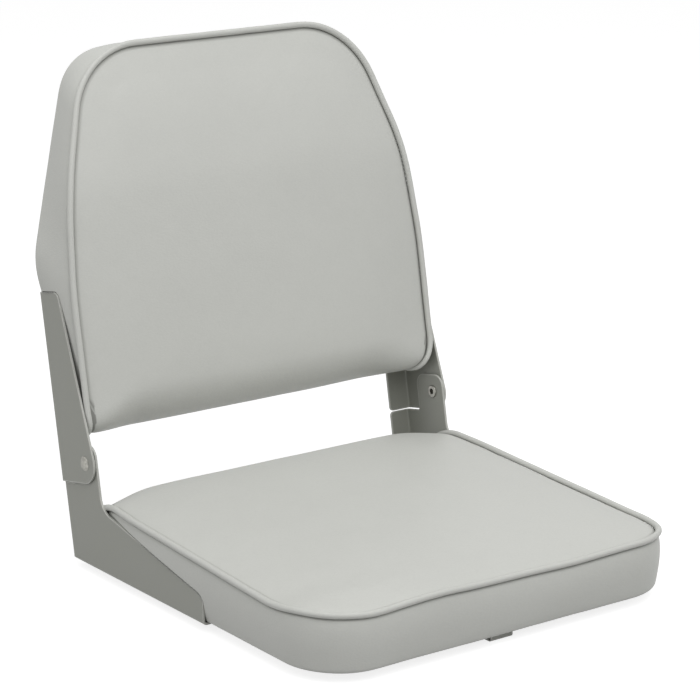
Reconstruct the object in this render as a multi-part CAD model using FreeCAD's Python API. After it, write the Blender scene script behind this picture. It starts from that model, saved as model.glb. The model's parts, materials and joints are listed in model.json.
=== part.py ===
import FreeCAD, Part
import math
import os

V = FreeCAD.Vector
ACROSS = V(1, 0, 0)
FORWARD = V(0, -1, 0)
REARWARD = V(0, 1, 0)
UP = V(0, 0, 1)
DOWN = V(0, 0, -1)

# Frame: X across the seat, Y from front to back, Z up. The origin is the middle of the mounting
# bolt square, on the underside of the seat board. All lengths are millimetres, angles are degrees.

# Seat cushion, squeezed a little narrower between the brackets at the rear
seat_rear_width = 404.6
seat_front_flare = 3.6
seat_depth = 392.0
seat_front_corner_radius = 57.0
seat_front_height = 51.6
seat_rear_height = 67.5
seat_crown = 6.8
seat_roll_radius = 46.0
seat_board_thickness = 12.0

# Back cushion, measured from the pivot along its own upright direction
recline_angle = 10.4
back_bottom_rise = 25.7
back_height = 359.9
back_depth = 52.9
back_crown = 8.0
back_roll_radius = 44.0
back_board_thickness = 11.0
back_shoulder_drop = 223.2
back_shoulder_radius = 480.0
back_taper_drop = 131.6
back_taper_inset = 8.3
back_taper_radius = 320.0
back_top_inset = 49.5
back_top_corner_radius = 80.5
back_lean_at_top = 16.8

# Sewn covers
vinyl_thickness = 1.2
welt_diameter = 5.5
welt_inset = 0.8
hem_width = 32.0
hem_cut_depth = 3.0
hem_seam_gap = 1.0
wrapped_edge_radius = 5.0
sewn_corner_radius = 3.0
rear_panel_margin = 6.0
crown_run = 80.0
loft_places = (-1.1, -0.86, -0.5, 0.0, 0.5, 0.86, 1.1)

# Folding brackets, pressed from sheet
sheet_thickness = 2.0
bend_inner_radius = 2.0
cushion_side_gap = 2.7
washer_thickness = 0.5
hinge_play = 0.1
washer_radius = 10.0
flange_width = 23.8
flange_corner_radius = 4.0
flange_rear_gap = 14.0
pivot_setback = 14.8
pivot_rise = 32.0
stop_gap = 1.0
corner_slot = 1.0
back_side_gap = 4.1

# Lower bracket: a low gusset along the seat with an ear round the pivot
base_flange_width = 34.0
gusset_length = 226.0
gusset_nose_height = 28.0
gusset_slope = 11.2
gusset_nose_radius = 11.0
neck_radius = 20.0
ear_front = 16.7
ear_top = 17.5
ear_corner_radius = 12.0
ear_notch = 23.0
notch_corner_radius = 3.0

# Upper bracket: a tapered plate up the side of the back
upper_drop = 19.6
upper_rise = 162.3
upper_top_width = 34.1
upper_bottom_width = 69.1
upper_top_radius = 6.0
upper_bottom_radius = 20.0

# Pivot rivet, semi-tubular, with its tail rolled over inside
rivet_shank_radius = 4.5
rivet_running_clearance = 0.05
rivet_head_radius = 7.2
rivet_head_height = 2.4
rivet_tail_radius = 6.4
rivet_tail_height = 1.5
rivet_tail_rounding = 0.9
rivet_hollow_radius = 3.0
rivet_hollow_depth = 5.0

# Machine screws and tee nuts
screw_shank_radius = 3.0
screw_head_radius = 6.0
screw_head_height = 2.4
screw_hole_clearance = 0.4
screw_tip_gap = 0.6
screw_row_inset = 17.0
tee_nut_bore_radius = 3.2
tee_nut_barrel_radius = 3.9
tee_nut_flange_radius = 9.5
tee_nut_flange_thickness = 1.4
tee_nut_barrel_gap = 2.5
seat_screw_first = 34.0
seat_screw_pitch = 79.0
seat_screw_count = 3
back_screw_first = 22.0
back_screw_pitch = 52.0
back_screw_count = 3
mount_bolt_spacing = 127.0

# Strap keeper under the front edge
keeper_width = 24.6
keeper_thickness = 1.5
keeper_bend_radius = 1.5
keeper_setback = 12.5
keeper_drop = 10.8
keeper_slot_depth = 25.0
keeper_foot_length = 26.0
keeper_free_gap = 0.3
keeper_screw_radius = 1.75
keeper_screw_head_radius = 3.6
keeper_screw_head_height = 1.9
keeper_screw_length = 9.0
keeper_screw_spacing = 13.0
keeper_screw_clearance = 0.1

# Worked out from the sizes above
recline = math.radians(recline_angle)
seat_half = seat_rear_width / 2
seat_front_half = seat_half + seat_front_flare
seat_front = -seat_depth / 2
seat_rear = seat_depth / 2
welt_radius = welt_diameter / 2
hem_underside = -vinyl_thickness
base_underside = hem_underside - sheet_thickness
bend_outer_radius = bend_inner_radius + sheet_thickness
pivot_y = seat_rear - pivot_setback
pivot_z = seat_rear_height + pivot_rise
lower_inner = seat_half + cushion_side_gap
lower_outer = lower_inner + sheet_thickness
upper_inner = lower_outer + washer_thickness + hinge_play
upper_outer = upper_inner + sheet_thickness
flange_edge = lower_outer - flange_width
flange_inner = (pivot_setback + flange_rear_gap) * math.cos(recline) + pivot_z * math.sin(recline)
flange_outer = flange_inner + sheet_thickness
back_half = upper_inner - back_side_gap
back_rear = flange_inner - vinyl_thickness
back_front = back_rear - back_depth
back_board_face = back_rear - vinyl_thickness - back_board_thickness
back_top = back_bottom_rise + back_height
back_taper_level = back_top - back_taper_drop
screw_hole_radius = screw_shank_radius + screw_hole_clearance
screw_row = lower_outer - screw_row_inset
rivet_hole_radius = rivet_shank_radius + rivet_running_clearance
base_flange_edge = lower_outer - base_flange_width
lower_flange_top = -upper_drop - stop_gap
far = 4 * (seat_rear_width + seat_depth + back_height)
overshoot = 0.1 * seat_half


# Shared shapes

def rounded_wire(points, radii, closed=True):
    """Straight runs between the points, with a tangent arc of the given radius at each one."""
    count = len(points)
    stops = []
    for i, corner in enumerate(points):
        is_end = not closed and i in (0, count - 1)
        if is_end or radii[i] == 0:
            stops.append((corner, None, corner))
            continue
        before = (points[i - 1] - corner).normalize()
        after = (points[(i + 1) % count] - corner).normalize()
        half_angle = before.getAngle(after) / 2
        reach = radii[i] / math.tan(half_angle)
        middle = (before + after).normalize() * (radii[i] / math.sin(half_angle) - radii[i])
        stops.append((corner + before * reach, corner + middle, corner + after * reach))
    edges = []
    for i, (arrive, middle, leave) in enumerate(stops):
        if middle is not None:
            edges.append(Part.Arc(arrive, middle, leave).toShape())
        if i < count - 1 or closed:
            edges.append(Part.makeLine(leave, stops[(i + 1) % count][0]))
    return Part.Wire(edges)


def inset_outline(corners, inset):
    """Moves every side of an outline inwards; corners are (across, along, radius), anticlockwise."""
    points = [V(across, along, 0) for across, along, _ in corners]
    moved = []
    for i, point in enumerate(points):
        before = (point - points[i - 1]).normalize()
        after = (points[(i + 1) % len(points)] - point).normalize()
        shift = V(-before.y - after.y, before.x + after.x, 0) * (inset / (1 + before.dot(after)))
        radius = max(corners[i][2] - inset, sewn_corner_radius)
        moved.append((point.x + shift.x, point.y + shift.y, radius))
    return moved


def prism(points, radii, along):
    """A flat outline with rounded corners, extruded along a vector."""
    return Part.Face(rounded_wire(points, radii)).extrude(along)


def rod(centre, direction, radius, length):
    return Part.makeCylinder(radius, length, centre, direction)


def ring(centre, direction, outer, inner, length):
    return rod(centre, direction, outer, length).cut(rod(centre, direction, inner, length))


def box_between(low, high):
    size = high - low
    return Part.makeBox(size.x, size.y, size.z, low)


def mirrored(shape):
    return shape.mirror(V(0, 0, 0), V(1, 0, 0))


def group(shapes):
    return Part.makeCompound([solid for shape in shapes for solid in shape.Solids])


def tilted(shape):
    """Puts a shape made upright about the pivot where the reclined back has it."""
    shape = shape.copy()
    shape.rotate(V(0, 0, 0), V(1, 0, 0), -recline_angle)
    shape.translate(V(0, pivot_y, pivot_z))
    return shape


def tilted_point(x, rear, up):
    """The place of a point given by its distances behind and above the pivot along the back."""
    y = pivot_y + rear * math.cos(recline) + up * math.sin(recline)
    z = pivot_z - rear * math.sin(recline) + up * math.cos(recline)
    return V(x, y, z)


def edge_at(shape, point, tolerance=0.01):
    """The edges of a shape whose middle is at a point."""
    found = []
    for edge in shape.Edges:
        middle = edge.valueAt((edge.FirstParameter + edge.LastParameter) / 2)
        if (middle - point).Length < tolerance:
            found.append(edge)
    return found


# Cushions: crowned side profiles lofted across the width give the panel and its rolled edge, and the
# outline seen from the panel side gives the rest

def crown_ramp(distance):
    """How much of the crown is reached at a distance inside a sewn edge."""
    share = max(-overshoot, min(crown_run, distance)) / crown_run
    return math.sin(math.pi / 2 * share)


def lofted(section, half):
    """A solid through the section at several places across the width, past the sides."""
    return Part.makeLoft([section(place * half) for place in loft_places], True, False)


def smooth_edge(points):
    curve = Part.BSplineCurve()
    curve.interpolate(points)
    return curve.toShape()


def seat_welt_level(y):
    return seat_front_height + (seat_rear_height - seat_front_height) * (y - seat_front) / seat_depth


def seat_half_width(y):
    """Half the width of the seat between the sharp corners of its plan."""
    return seat_half + seat_front_flare * (seat_rear - y) / seat_depth


def seat_section(x, inset):
    """Side profile of the seat cushion: crowned top and rolled rear edge."""
    front = seat_front + inset
    rear = seat_rear - inset
    roll = seat_roll_radius - inset
    roll_start = rear - roll

    def top(y):
        crown = seat_crown * crown_ramp(seat_half_width(y) - abs(x)) * crown_ramp(y - front)
        return seat_welt_level(y) + crown - inset

    ahead = front - overshoot
    depths = (ahead, front, front + crown_run / 3, front + crown_run, (front + roll_start) / 2, roll_start)
    shoulder = top(roll_start)
    diagonal = roll * math.sqrt(0.5)
    middle = V(x, roll_start + diagonal, shoulder - roll + diagonal)
    below = hem_underside - overshoot
    edges = [
        Part.makeLine(V(x, rear, below), V(x, ahead, below)),
        Part.makeLine(V(x, ahead, below), V(x, ahead, top(ahead))),
        smooth_edge([V(x, y, top(y)) for y in depths]),
        Part.Arc(V(x, roll_start, shoulder), middle, V(x, rear, shoulder - roll)).toShape(),
        Part.makeLine(V(x, rear, shoulder - roll), V(x, rear, below)),
    ]
    return Part.Wire(edges)


def seat_outline(inset, z, rear):
    """Plan of the seat cushion: straight sides and large front corners, as far as a rear line."""
    side = [(seat_front_half, seat_front, seat_front_corner_radius),
            (seat_half_width(rear), rear, sewn_corner_radius)]
    other = [(-x, y, radius) for x, y, radius in reversed(side)]
    outline = inset_outline(side + other, inset)
    return [V(x, y, z) for x, y, _ in outline], [radius for _, _, radius in outline]


def seat_body(inset):
    """The whole seat cushion, shrunk by an inset."""
    bottom = hem_underside + inset
    points, radii = seat_outline(inset, bottom, seat_rear + 2 * overshoot)
    column = prism(points, radii, V(0, 0, far))
    rim = [edge for edge in column.Edges if edge.BoundBox.ZMax < bottom + vinyl_thickness / 2
           and edge.BoundBox.YMin < seat_rear]
    column = column.makeFillet(wrapped_edge_radius - inset, rim)
    return lofted(lambda x: seat_section(x, inset), seat_front_half).common(column).Solids[0]


def back_welt_depth(up):
    """Distance of the front welt behind the pivot: upright, then leaning back near the top."""
    above = max(0.0, up - back_taper_level)
    return back_front + back_lean_at_top * above / back_taper_drop


def back_half_width(up):
    """Half the width of the back between the sharp corners of its outline."""
    shoulder_level = back_top - back_shoulder_drop
    if up < shoulder_level:
        return back_half
    if up < back_taper_level:
        return back_half - back_taper_inset * (up - shoulder_level) / (back_taper_level - shoulder_level)
    slope = (back_top_inset - back_taper_inset) / back_taper_drop
    return back_half - back_taper_inset - slope * (up - back_taper_level)


def back_section(x, inset):
    """Side profile of the back cushion: crowned front that leans back at the top, and rolled bottom."""
    top = back_top - inset
    bottom = back_bottom_rise + inset
    roll = back_roll_radius - inset
    roll_start = bottom + roll

    def face(up):
        crown = back_crown * crown_ramp(back_half_width(up) - abs(x)) * crown_ramp(top - up)
        return back_welt_depth(up) - crown + inset

    above = top + overshoot
    upper = (above, top, top - crown_run / 3, top - crown_run, back_taper_level)
    lower = ((2 * back_taper_level + roll_start) / 3, (back_taper_level + 2 * roll_start) / 3, roll_start)
    nose = face(roll_start)
    diagonal = roll * math.sqrt(0.5)
    middle = V(x, nose + roll - diagonal, roll_start - diagonal)
    behind = back_rear + overshoot
    edges = [
        Part.makeLine(V(x, behind, bottom), V(x, behind, above)),
        Part.makeLine(V(x, behind, above), V(x, face(above), above)),
        smooth_edge([V(x, face(up), up) for up in upper + lower]),
        Part.Arc(V(x, nose, roll_start), middle, V(x, nose + roll, bottom)).toShape(),
        Part.makeLine(V(x, nose + roll, bottom), V(x, behind, bottom)),
    ]
    return Part.Wire(edges)


def back_outline(inset, y, bottom):
    """Front view of the back cushion: straight sides, tapering shoulders, as low as a bottom line."""
    side = [(back_half, bottom, sewn_corner_radius),
            (back_half, back_top - back_shoulder_drop, back_shoulder_radius),
            (back_half - back_taper_inset, back_taper_level, back_taper_radius),
            (back_half - back_top_inset, back_top, back_top_corner_radius)]
    other = [(-x, up, radius) for x, up, radius in reversed(side)]
    outline = inset_outline(side + other, inset)
    return [V(x, y, up) for x, up, _ in outline], [radius for _, _, radius in outline]


def back_body(inset):
    """The whole back cushion, upright about the pivot, shrunk by an inset."""
    rear = back_rear - inset
    points, radii = back_outline(inset, rear, back_bottom_rise - 2 * overshoot)
    column = prism(points, radii, V(0, -far, 0))
    rim = [edge for edge in column.Edges if edge.BoundBox.YMin > rear - vinyl_thickness / 2
           and edge.BoundBox.ZMax > back_bottom_rise]
    column = column.makeFillet(wrapped_edge_radius - inset, rim)
    return lofted(lambda x: back_section(x, inset), back_half).common(column).Solids[0]


def tube(points, radii):
    """Welt cord along a path of straight runs and tangent arcs."""
    path = rounded_wire(points, radii, closed=False)
    start = points[0]
    circle = Part.Wire(Part.makeCircle(welt_radius, start, points[1] - start))
    return path.makePipeShell([circle], True, False)


def seat_welt_cord():
    """Along both sides and the front, then down the rear corners where the top panel rolls over."""
    rear_half = seat_half - welt_inset
    front_half = seat_front_half - welt_inset
    front = seat_front + welt_inset
    rear = seat_rear - welt_inset
    rear_level = seat_welt_level(seat_rear) - welt_inset
    front_level = seat_welt_level(seat_front) - welt_inset
    side = [(V(rear_half, rear, hem_underside), 0),
            (V(rear_half, rear, rear_level), seat_roll_radius - welt_inset),
            (V(front_half, front, front_level), seat_front_corner_radius - welt_inset)]
    other = [(V(-p.x, p.y, p.z), radius) for p, radius in reversed(side)]
    return tube([p for p, _ in side + other], [radius for _, radius in side + other])


def back_welt_cord():
    """Up both sides and over the top, starting under the rolled bottom edge."""
    half = back_half - welt_inset
    front = back_front + welt_inset
    top = back_top - welt_inset
    bottom = back_bottom_rise + welt_inset
    lean = back_front + back_lean_at_top + welt_inset
    side = [(V(half, back_rear, bottom), 0),
            (V(half, front, bottom), back_roll_radius - welt_inset),
            (V(half, front, back_top - back_shoulder_drop), back_shoulder_radius),
            (V(half - back_taper_inset, front, back_taper_level), back_taper_radius),
            (V(half - back_top_inset, lean, top), back_top_corner_radius - welt_inset)]
    other = [(V(-p.x, p.y, p.z), radius) for p, radius in reversed(side)]
    return tube([p for p, _ in side + other], [radius for _, radius in side + other])


def mitre_slot(corner, inward, normal):
    """A thin slot from a corner along a diagonal, which parts two hems below the end of the welt."""
    reach = 2 * hem_width
    depth = 2 * (wrapped_edge_radius + welt_diameter)
    slot = Part.makeBox(reach, hem_seam_gap, depth, V(-welt_diameter, -hem_seam_gap / 2, -depth / 2))
    across = normal.cross(inward)
    turn = FreeCAD.Rotation(inward, across, normal, "XZY")
    slot.Placement = FreeCAD.Placement(corner, turn)
    return slot


def seat_cover(cord):
    """Vinyl skin of the seat, split along the welt into the top panel and the side band."""
    skin = seat_body(0).cut(seat_body(vinyl_thickness))
    points, radii = seat_outline(hem_width, hem_underside - vinyl_thickness, seat_rear)
    skin = skin.cut(prism(points, radii, V(0, 0, hem_cut_depth)))
    skin = skin.cut(cord)
    for side in (-1, 1):
        corner = V(side * seat_half, seat_rear, hem_underside)
        skin = skin.cut(mitre_slot(corner, V(-side, -1, 0).normalize(), V(0, 0, 1)))
    return sorted(skin.Solids, key=lambda solid: solid.CenterOfMass.z, reverse=True)


def back_cover(cord):
    """Vinyl skin of the back, split along the welt into the front panel and the side band."""
    skin = back_body(0).cut(back_body(vinyl_thickness))
    points, radii = back_outline(hem_width, back_rear + vinyl_thickness, back_bottom_rise)
    skin = skin.cut(prism(points, radii, V(0, -hem_cut_depth, 0)))
    skin = skin.cut(cord)
    for side in (-1, 1):
        corner = V(side * back_half, back_rear, back_bottom_rise)
        skin = skin.cut(mitre_slot(corner, V(-side, 0, 1).normalize(), V(0, 1, 0)))
    return sorted(skin.Solids, key=lambda solid: solid.CenterOfMass.y)


# Boards and foam

def seat_slab():
    """Everything up to the top of the seat board."""
    return box_between(V(-far, -far, -far), V(far, far, seat_board_thickness))


def back_slab():
    """Everything behind the front of the back board, upright about the pivot."""
    return box_between(V(-far, back_board_face, -far), V(far, far, far))


def tee_nut(face, direction, barrel):
    """Flanged threaded barrel, pulled flush into the face of a board."""
    disc = rod(face, direction, tee_nut_flange_radius, tee_nut_flange_thickness)
    body = disc.fuse(rod(face, direction, tee_nut_barrel_radius, barrel))
    return body.cut(rod(face, direction, tee_nut_bore_radius, barrel)).removeSplitter()


def tee_nut_seat(face, direction, board):
    """The hole and counterbore that a tee nut takes out of a board."""
    disc = rod(face, direction, tee_nut_flange_radius, tee_nut_flange_thickness)
    return disc.fuse(rod(face, direction, tee_nut_barrel_radius, board))


def dome(base, outward, radius, height):
    """Low rounded head of a rivet or a screw."""
    ball_radius = (radius ** 2 + height ** 2) / (2 * height)
    ball = Part.makeSphere(ball_radius, base + outward * (height - ball_radius))
    return ball.common(rod(base, outward, radius, 2 * height))


def screw(seat, inward, length, shank_radius, head_radius, head_height):
    """Round-headed screw whose head rests on a face and whose shank goes inwards."""
    head = dome(seat, inward * -1, head_radius, head_height)
    return head.fuse(rod(seat, inward, shank_radius, length)).removeSplitter()


def both_sides(places):
    return [V(side * place.x, place.y, place.z) for side in (-1, 1) for place in places]


def mount_places():
    """Corners of the bolt square, on the top face of the seat board."""
    half = mount_bolt_spacing / 2
    return both_sides([V(half, -half, seat_board_thickness), V(half, half, seat_board_thickness)])


def seat_screw_places():
    """Screws through the base flanges, on the underside of those flanges."""
    rear = base_rear()
    spots = [rear - seat_screw_first - i * seat_screw_pitch for i in range(seat_screw_count)]
    return both_sides([V(screw_row, y, base_underside) for y in spots])


def back_screw_places():
    """Screws through the upper rear flanges, on the rear of those flanges, upright about the pivot."""
    levels = [back_bottom_rise + back_screw_first + i * back_screw_pitch for i in range(back_screw_count)]
    return both_sides([V(screw_row, flange_outer, up) for up in levels])


def keeper_screw_places():
    """Screws through the foot of the strap keeper, on the underside of that foot."""
    foot_middle = keeper_rear() + keeper_foot_length / 2
    return both_sides([V(keeper_screw_spacing / 2, foot_middle, -keeper_thickness)])


def on_plane(place, x=None, y=None, z=None):
    return V(place.x if x is None else x, place.y if y is None else y, place.z if z is None else z)


def cut_all(shape, tools):
    for tool in tools:
        shape = shape.cut(tool)
    return shape


def seat_nut_faces():
    return [on_plane(place, z=seat_board_thickness) for place in seat_screw_places()]


def back_nut_faces():
    return [on_plane(place, y=back_board_face) for place in back_screw_places()]


def seat_board(inside, cord):
    board = inside.common(seat_slab()).cut(cord)
    faces = mount_places() + seat_nut_faces()
    board = cut_all(board, [tee_nut_seat(face, DOWN, seat_board_thickness) for face in faces])
    pilot = keeper_screw_radius + keeper_screw_clearance
    return cut_all(board, [rod(place, UP, pilot, keeper_screw_length + keeper_screw_clearance)
                           for place in keeper_screw_places()])


def back_board(inside, cord):
    board = inside.common(back_slab()).cut(cord)
    return cut_all(board, [tee_nut_seat(face, REARWARD, back_board_thickness) for face in back_nut_faces()])


def back_rear_panel():
    points, radii = back_outline(rear_panel_margin, back_rear, back_bottom_rise)
    panel = prism(points, radii, V(0, vinyl_thickness, 0))
    return cut_all(panel, back_screw_holes())


def seat_screw_holes():
    return [rod(place, UP, screw_hole_radius, sheet_thickness + vinyl_thickness) for place in seat_screw_places()]


def back_screw_holes():
    depth = sheet_thickness + 2 * vinyl_thickness
    return [rod(place, FORWARD, screw_hole_radius, depth) for place in back_screw_places()]


# Folding brackets: an envelope with rounded bends, less the same envelope one sheet further in

def base_rear():
    """Where the rear flange's outer face meets the underside of the base flange."""
    return pivot_y + (flange_outer + (base_underside - pivot_z) * math.sin(recline)) / math.cos(recline)


def rear_envelope(side, rear, radius):
    """Room inside a side plate and a rear flange, upright about the pivot, with its bend rounded."""
    room = box_between(V(0, -far, -far), V(side, rear, far))
    return room.makeFillet(radius, edge_at(room, V(side, rear, 0)))


def base_envelope(side, bottom, radius):
    """Room inside a side plate and above a base flange, with its bend rounded."""
    room = box_between(V(0, -far, bottom), V(side, far, far))
    return room.makeFillet(radius, edge_at(room, V(side, 0, bottom)))


def gusset_meets_neck():
    """The sharp corner between the gusset's sloping top and the front of the ear."""
    slope = math.tan(math.radians(gusset_slope))
    nose_y = base_rear() - gusset_length
    nose_z = base_underside + gusset_nose_height
    foot = tilted_point(0, -ear_front, 0)
    climb = math.cos(recline) - slope * math.sin(recline)
    up = (nose_z - foot.z + slope * (foot.y - nose_y)) / climb
    return tilted_point(base_flange_edge, -ear_front, up)


def lower_bracket():
    """Right-hand seat bracket: gusset, ear, base flange under the board, rear flange behind the cushion."""
    edge = base_flange_edge
    nose_y = base_rear() - gusset_length
    notch = flange_outer - ear_notch
    corners = [
        (V(edge, base_rear(), base_underside), 0),
        (tilted_point(edge, flange_outer, lower_flange_top), 0),
        (tilted_point(edge, notch, lower_flange_top), notch_corner_radius),
        (tilted_point(edge, notch, ear_top), ear_corner_radius),
        (tilted_point(edge, -ear_front, ear_top), ear_corner_radius),
        (gusset_meets_neck(), neck_radius),
        (V(edge, nose_y, base_underside + gusset_nose_height), gusset_nose_radius),
        (V(edge, nose_y, base_underside), 0),
    ]
    outline = prism([p for p, _ in corners], [radius for _, radius in corners], V(lower_outer - edge, 0, 0))
    outside = outline.common(tilted(rear_envelope(lower_outer, flange_outer, bend_outer_radius)))
    outside = outside.common(base_envelope(lower_outer, base_underside, bend_outer_radius))
    inside = tilted(rear_envelope(lower_inner, flange_inner, bend_inner_radius))
    inside = inside.common(base_envelope(lower_inner, hem_underside, bend_inner_radius))
    bracket = outside.cut(inside)
    beyond = box_between(V(0, flange_inner, -far), V(flange_edge, far, far))
    bend_start = lower_inner - bend_inner_radius
    slot = box_between(V(0, seat_rear, hem_underside), V(bend_start, far, hem_underside + corner_slot))
    bracket = bracket.cut(tilted(beyond)).cut(slot).Solids[0]
    middle = (flange_inner + flange_outer) / 2
    base_middle = base_underside + sheet_thickness / 2
    rounded = edge_at(bracket, tilted_point(flange_edge, middle, lower_flange_top))
    rounded += edge_at(bracket, V(edge, nose_y, base_middle))
    bracket = bracket.makeFillet(flange_corner_radius, rounded)
    bracket = bracket.cut(rod(V(0, pivot_y, pivot_z), ACROSS, rivet_hole_radius, far))
    return cut_all(bracket, seat_screw_holes())


def upper_bracket():
    """Right-hand back bracket, upright about the pivot: tapered plate and rear flange."""
    edge = flange_edge
    corners = [
        (V(edge, flange_outer, -upper_drop), 0),
        (V(edge, flange_outer, upper_rise), 0),
        (V(edge, flange_outer - upper_top_width, upper_rise), upper_top_radius),
        (V(edge, flange_outer - upper_bottom_width, -upper_drop), upper_bottom_radius),
    ]
    outline = prism([p for p, _ in corners], [radius for _, radius in corners], V(upper_outer - edge, 0, 0))
    outside = outline.common(rear_envelope(upper_outer, flange_outer, bend_outer_radius))
    bracket = outside.cut(rear_envelope(upper_inner, flange_inner, bend_inner_radius)).Solids[0]
    middle = (flange_inner + flange_outer) / 2
    rounded = edge_at(bracket, V(edge, middle, -upper_drop)) + edge_at(bracket, V(edge, middle, upper_rise))
    bracket = bracket.makeFillet(flange_corner_radius, rounded)
    bracket = bracket.cut(rod(V(0, 0, 0), ACROSS, rivet_hole_radius, far))
    return cut_all(bracket, back_screw_holes())


# Pivot

def pivot_rivet():
    """Right-hand rivet through both plates: domed head outside, rolled hollow tail inside."""
    head_seat = upper_outer + hinge_play
    head = dome(V(head_seat, pivot_y, pivot_z), ACROSS, rivet_head_radius, rivet_head_height)
    shank = rod(V(lower_inner, pivot_y, pivot_z), ACROSS, rivet_shank_radius, head_seat - lower_inner)
    tail_end = V(lower_inner - rivet_tail_height, pivot_y, pivot_z)
    tail = rod(tail_end, ACROSS, rivet_tail_radius, rivet_tail_height)
    rim = [edge for edge in tail.Edges if edge.BoundBox.XMax < lower_inner - rivet_tail_height / 2]
    tail = tail.makeFillet(rivet_tail_rounding, [edge for edge in rim if edge.Length > rivet_tail_radius])
    rivet = head.fuse(shank).fuse(tail).removeSplitter()
    return rivet.cut(rod(tail_end, ACROSS, rivet_hollow_radius, rivet_hollow_depth))


def pivot_washer():
    return ring(V(lower_outer, pivot_y, pivot_z), ACROSS, washer_radius, rivet_hole_radius, washer_thickness)


# Strap keeper

def keeper_rear():
    """Rear face of the keeper's rear wall."""
    return seat_front + keeper_setback + keeper_slot_depth + 2 * keeper_thickness


def strap_keeper():
    """Strip bent into a trough under the front edge, with a foot screwed to the board behind it."""
    inner = keeper_bend_radius
    outer = inner + keeper_thickness
    left = -keeper_width / 2
    front = seat_front + keeper_setback
    rear = keeper_rear()
    lip = hem_underside - keeper_free_gap
    heel = rear + keeper_foot_length
    corners = [
        (front, lip, 0), (front, -keeper_drop, outer), (rear, -keeper_drop, outer),
        (rear, -keeper_thickness, inner), (heel, -keeper_thickness, 0), (heel, 0, 0),
        (rear - keeper_thickness, 0, outer), (rear - keeper_thickness, keeper_thickness - keeper_drop, inner),
        (front + keeper_thickness, keeper_thickness - keeper_drop, inner), (front + keeper_thickness, lip, 0),
    ]
    points = [V(left, y, z) for y, z, _ in corners]
    keeper = prism(points, [radius for _, _, radius in corners], V(keeper_width, 0, 0))
    hole = keeper_screw_radius + keeper_screw_clearance
    return cut_all(keeper, [rod(place, UP, hole, keeper_thickness) for place in keeper_screw_places()])


# Assembly: one file for each piece, pieces of the back tilted into place last

def seat_nodes():
    cord = seat_welt_cord()
    inside = seat_body(vinyl_thickness)
    top_panel, side_band = seat_cover(cord)
    nut_barrel = seat_board_thickness - tee_nut_barrel_gap
    screw_length = seat_board_thickness - base_underside - screw_tip_gap
    bracket = lower_bracket()
    rivet = pivot_rivet()
    washer = pivot_washer()
    return {
        "seat_board": seat_board(inside, cord),
        "seat_foam": inside.cut(seat_slab()).cut(cord),
        "seat_top_panel": top_panel,
        "seat_side_band": cut_all(side_band, seat_screw_holes()),
        "seat_welt": cord,
        "mounting_tee_nuts": group(tee_nut(face, DOWN, seat_board_thickness) for face in mount_places()),
        "seat_tee_nuts": group(tee_nut(face, DOWN, nut_barrel) for face in seat_nut_faces()),
        "seat_bracket_screws": group(
            screw(place, UP, screw_length, screw_shank_radius, screw_head_radius, screw_head_height)
            for place in seat_screw_places()),
        "right_lower_bracket": bracket,
        "left_lower_bracket": mirrored(bracket),
        "right_pivot_rivet": rivet,
        "left_pivot_rivet": mirrored(rivet),
        "right_pivot_washer": washer,
        "left_pivot_washer": mirrored(washer),
        "strap_keeper": strap_keeper(),
        "keeper_screws": group(
            screw(place, UP, keeper_screw_length, keeper_screw_radius, keeper_screw_head_radius,
                  keeper_screw_head_height)
            for place in keeper_screw_places()),
    }


def back_nodes():
    cord = back_welt_cord()
    inside = back_body(vinyl_thickness)
    front_panel, side_band = back_cover(cord)
    nut_barrel = back_board_thickness - tee_nut_barrel_gap
    screw_length = flange_outer - back_board_face - screw_tip_gap
    bracket = upper_bracket()
    upright = {
        "back_board": back_board(inside, cord),
        "back_foam": inside.cut(back_slab()).cut(cord),
        "back_front_panel": cut_all(front_panel, back_screw_holes()),
        "back_side_band": cut_all(side_band, back_screw_holes()),
        "back_welt": cord,
        "back_rear_panel": back_rear_panel(),
        "right_upper_bracket": bracket,
        "left_upper_bracket": mirrored(bracket),
        "back_tee_nuts": group(tee_nut(face, REARWARD, nut_barrel) for face in back_nut_faces()),
        "back_bracket_screws": group(
            screw(place, FORWARD, screw_length, screw_shank_radius, screw_head_radius, screw_head_height)
            for place in back_screw_places()),
    }
    return {name: tilted(shape) for name, shape in upright.items()}


os.makedirs("parts", exist_ok=True)
for name, shape in {**seat_nodes(), **back_nodes()}.items():
    solids = shape.Solids
    print(name, len(solids), all(solid.isValid() for solid in solids), round(shape.Volume, 1))
    piece = solids[0] if len(solids) == 1 else Part.makeCompound(solids)
    piece.exportStep(f"parts/{name}.step")
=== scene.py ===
"""Folding boat seat: sewn vinyl cushions, painted folding brackets and a plain studio stage."""

import cmath
import json
import math
from contextlib import contextmanager

import bmesh
import bpy
import numpy as np
from bpy.props import FloatProperty, FloatVectorProperty, PointerProperty
from mathutils import Matrix, Vector, noise
from mathutils.bvhtree import BVHTree


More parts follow.
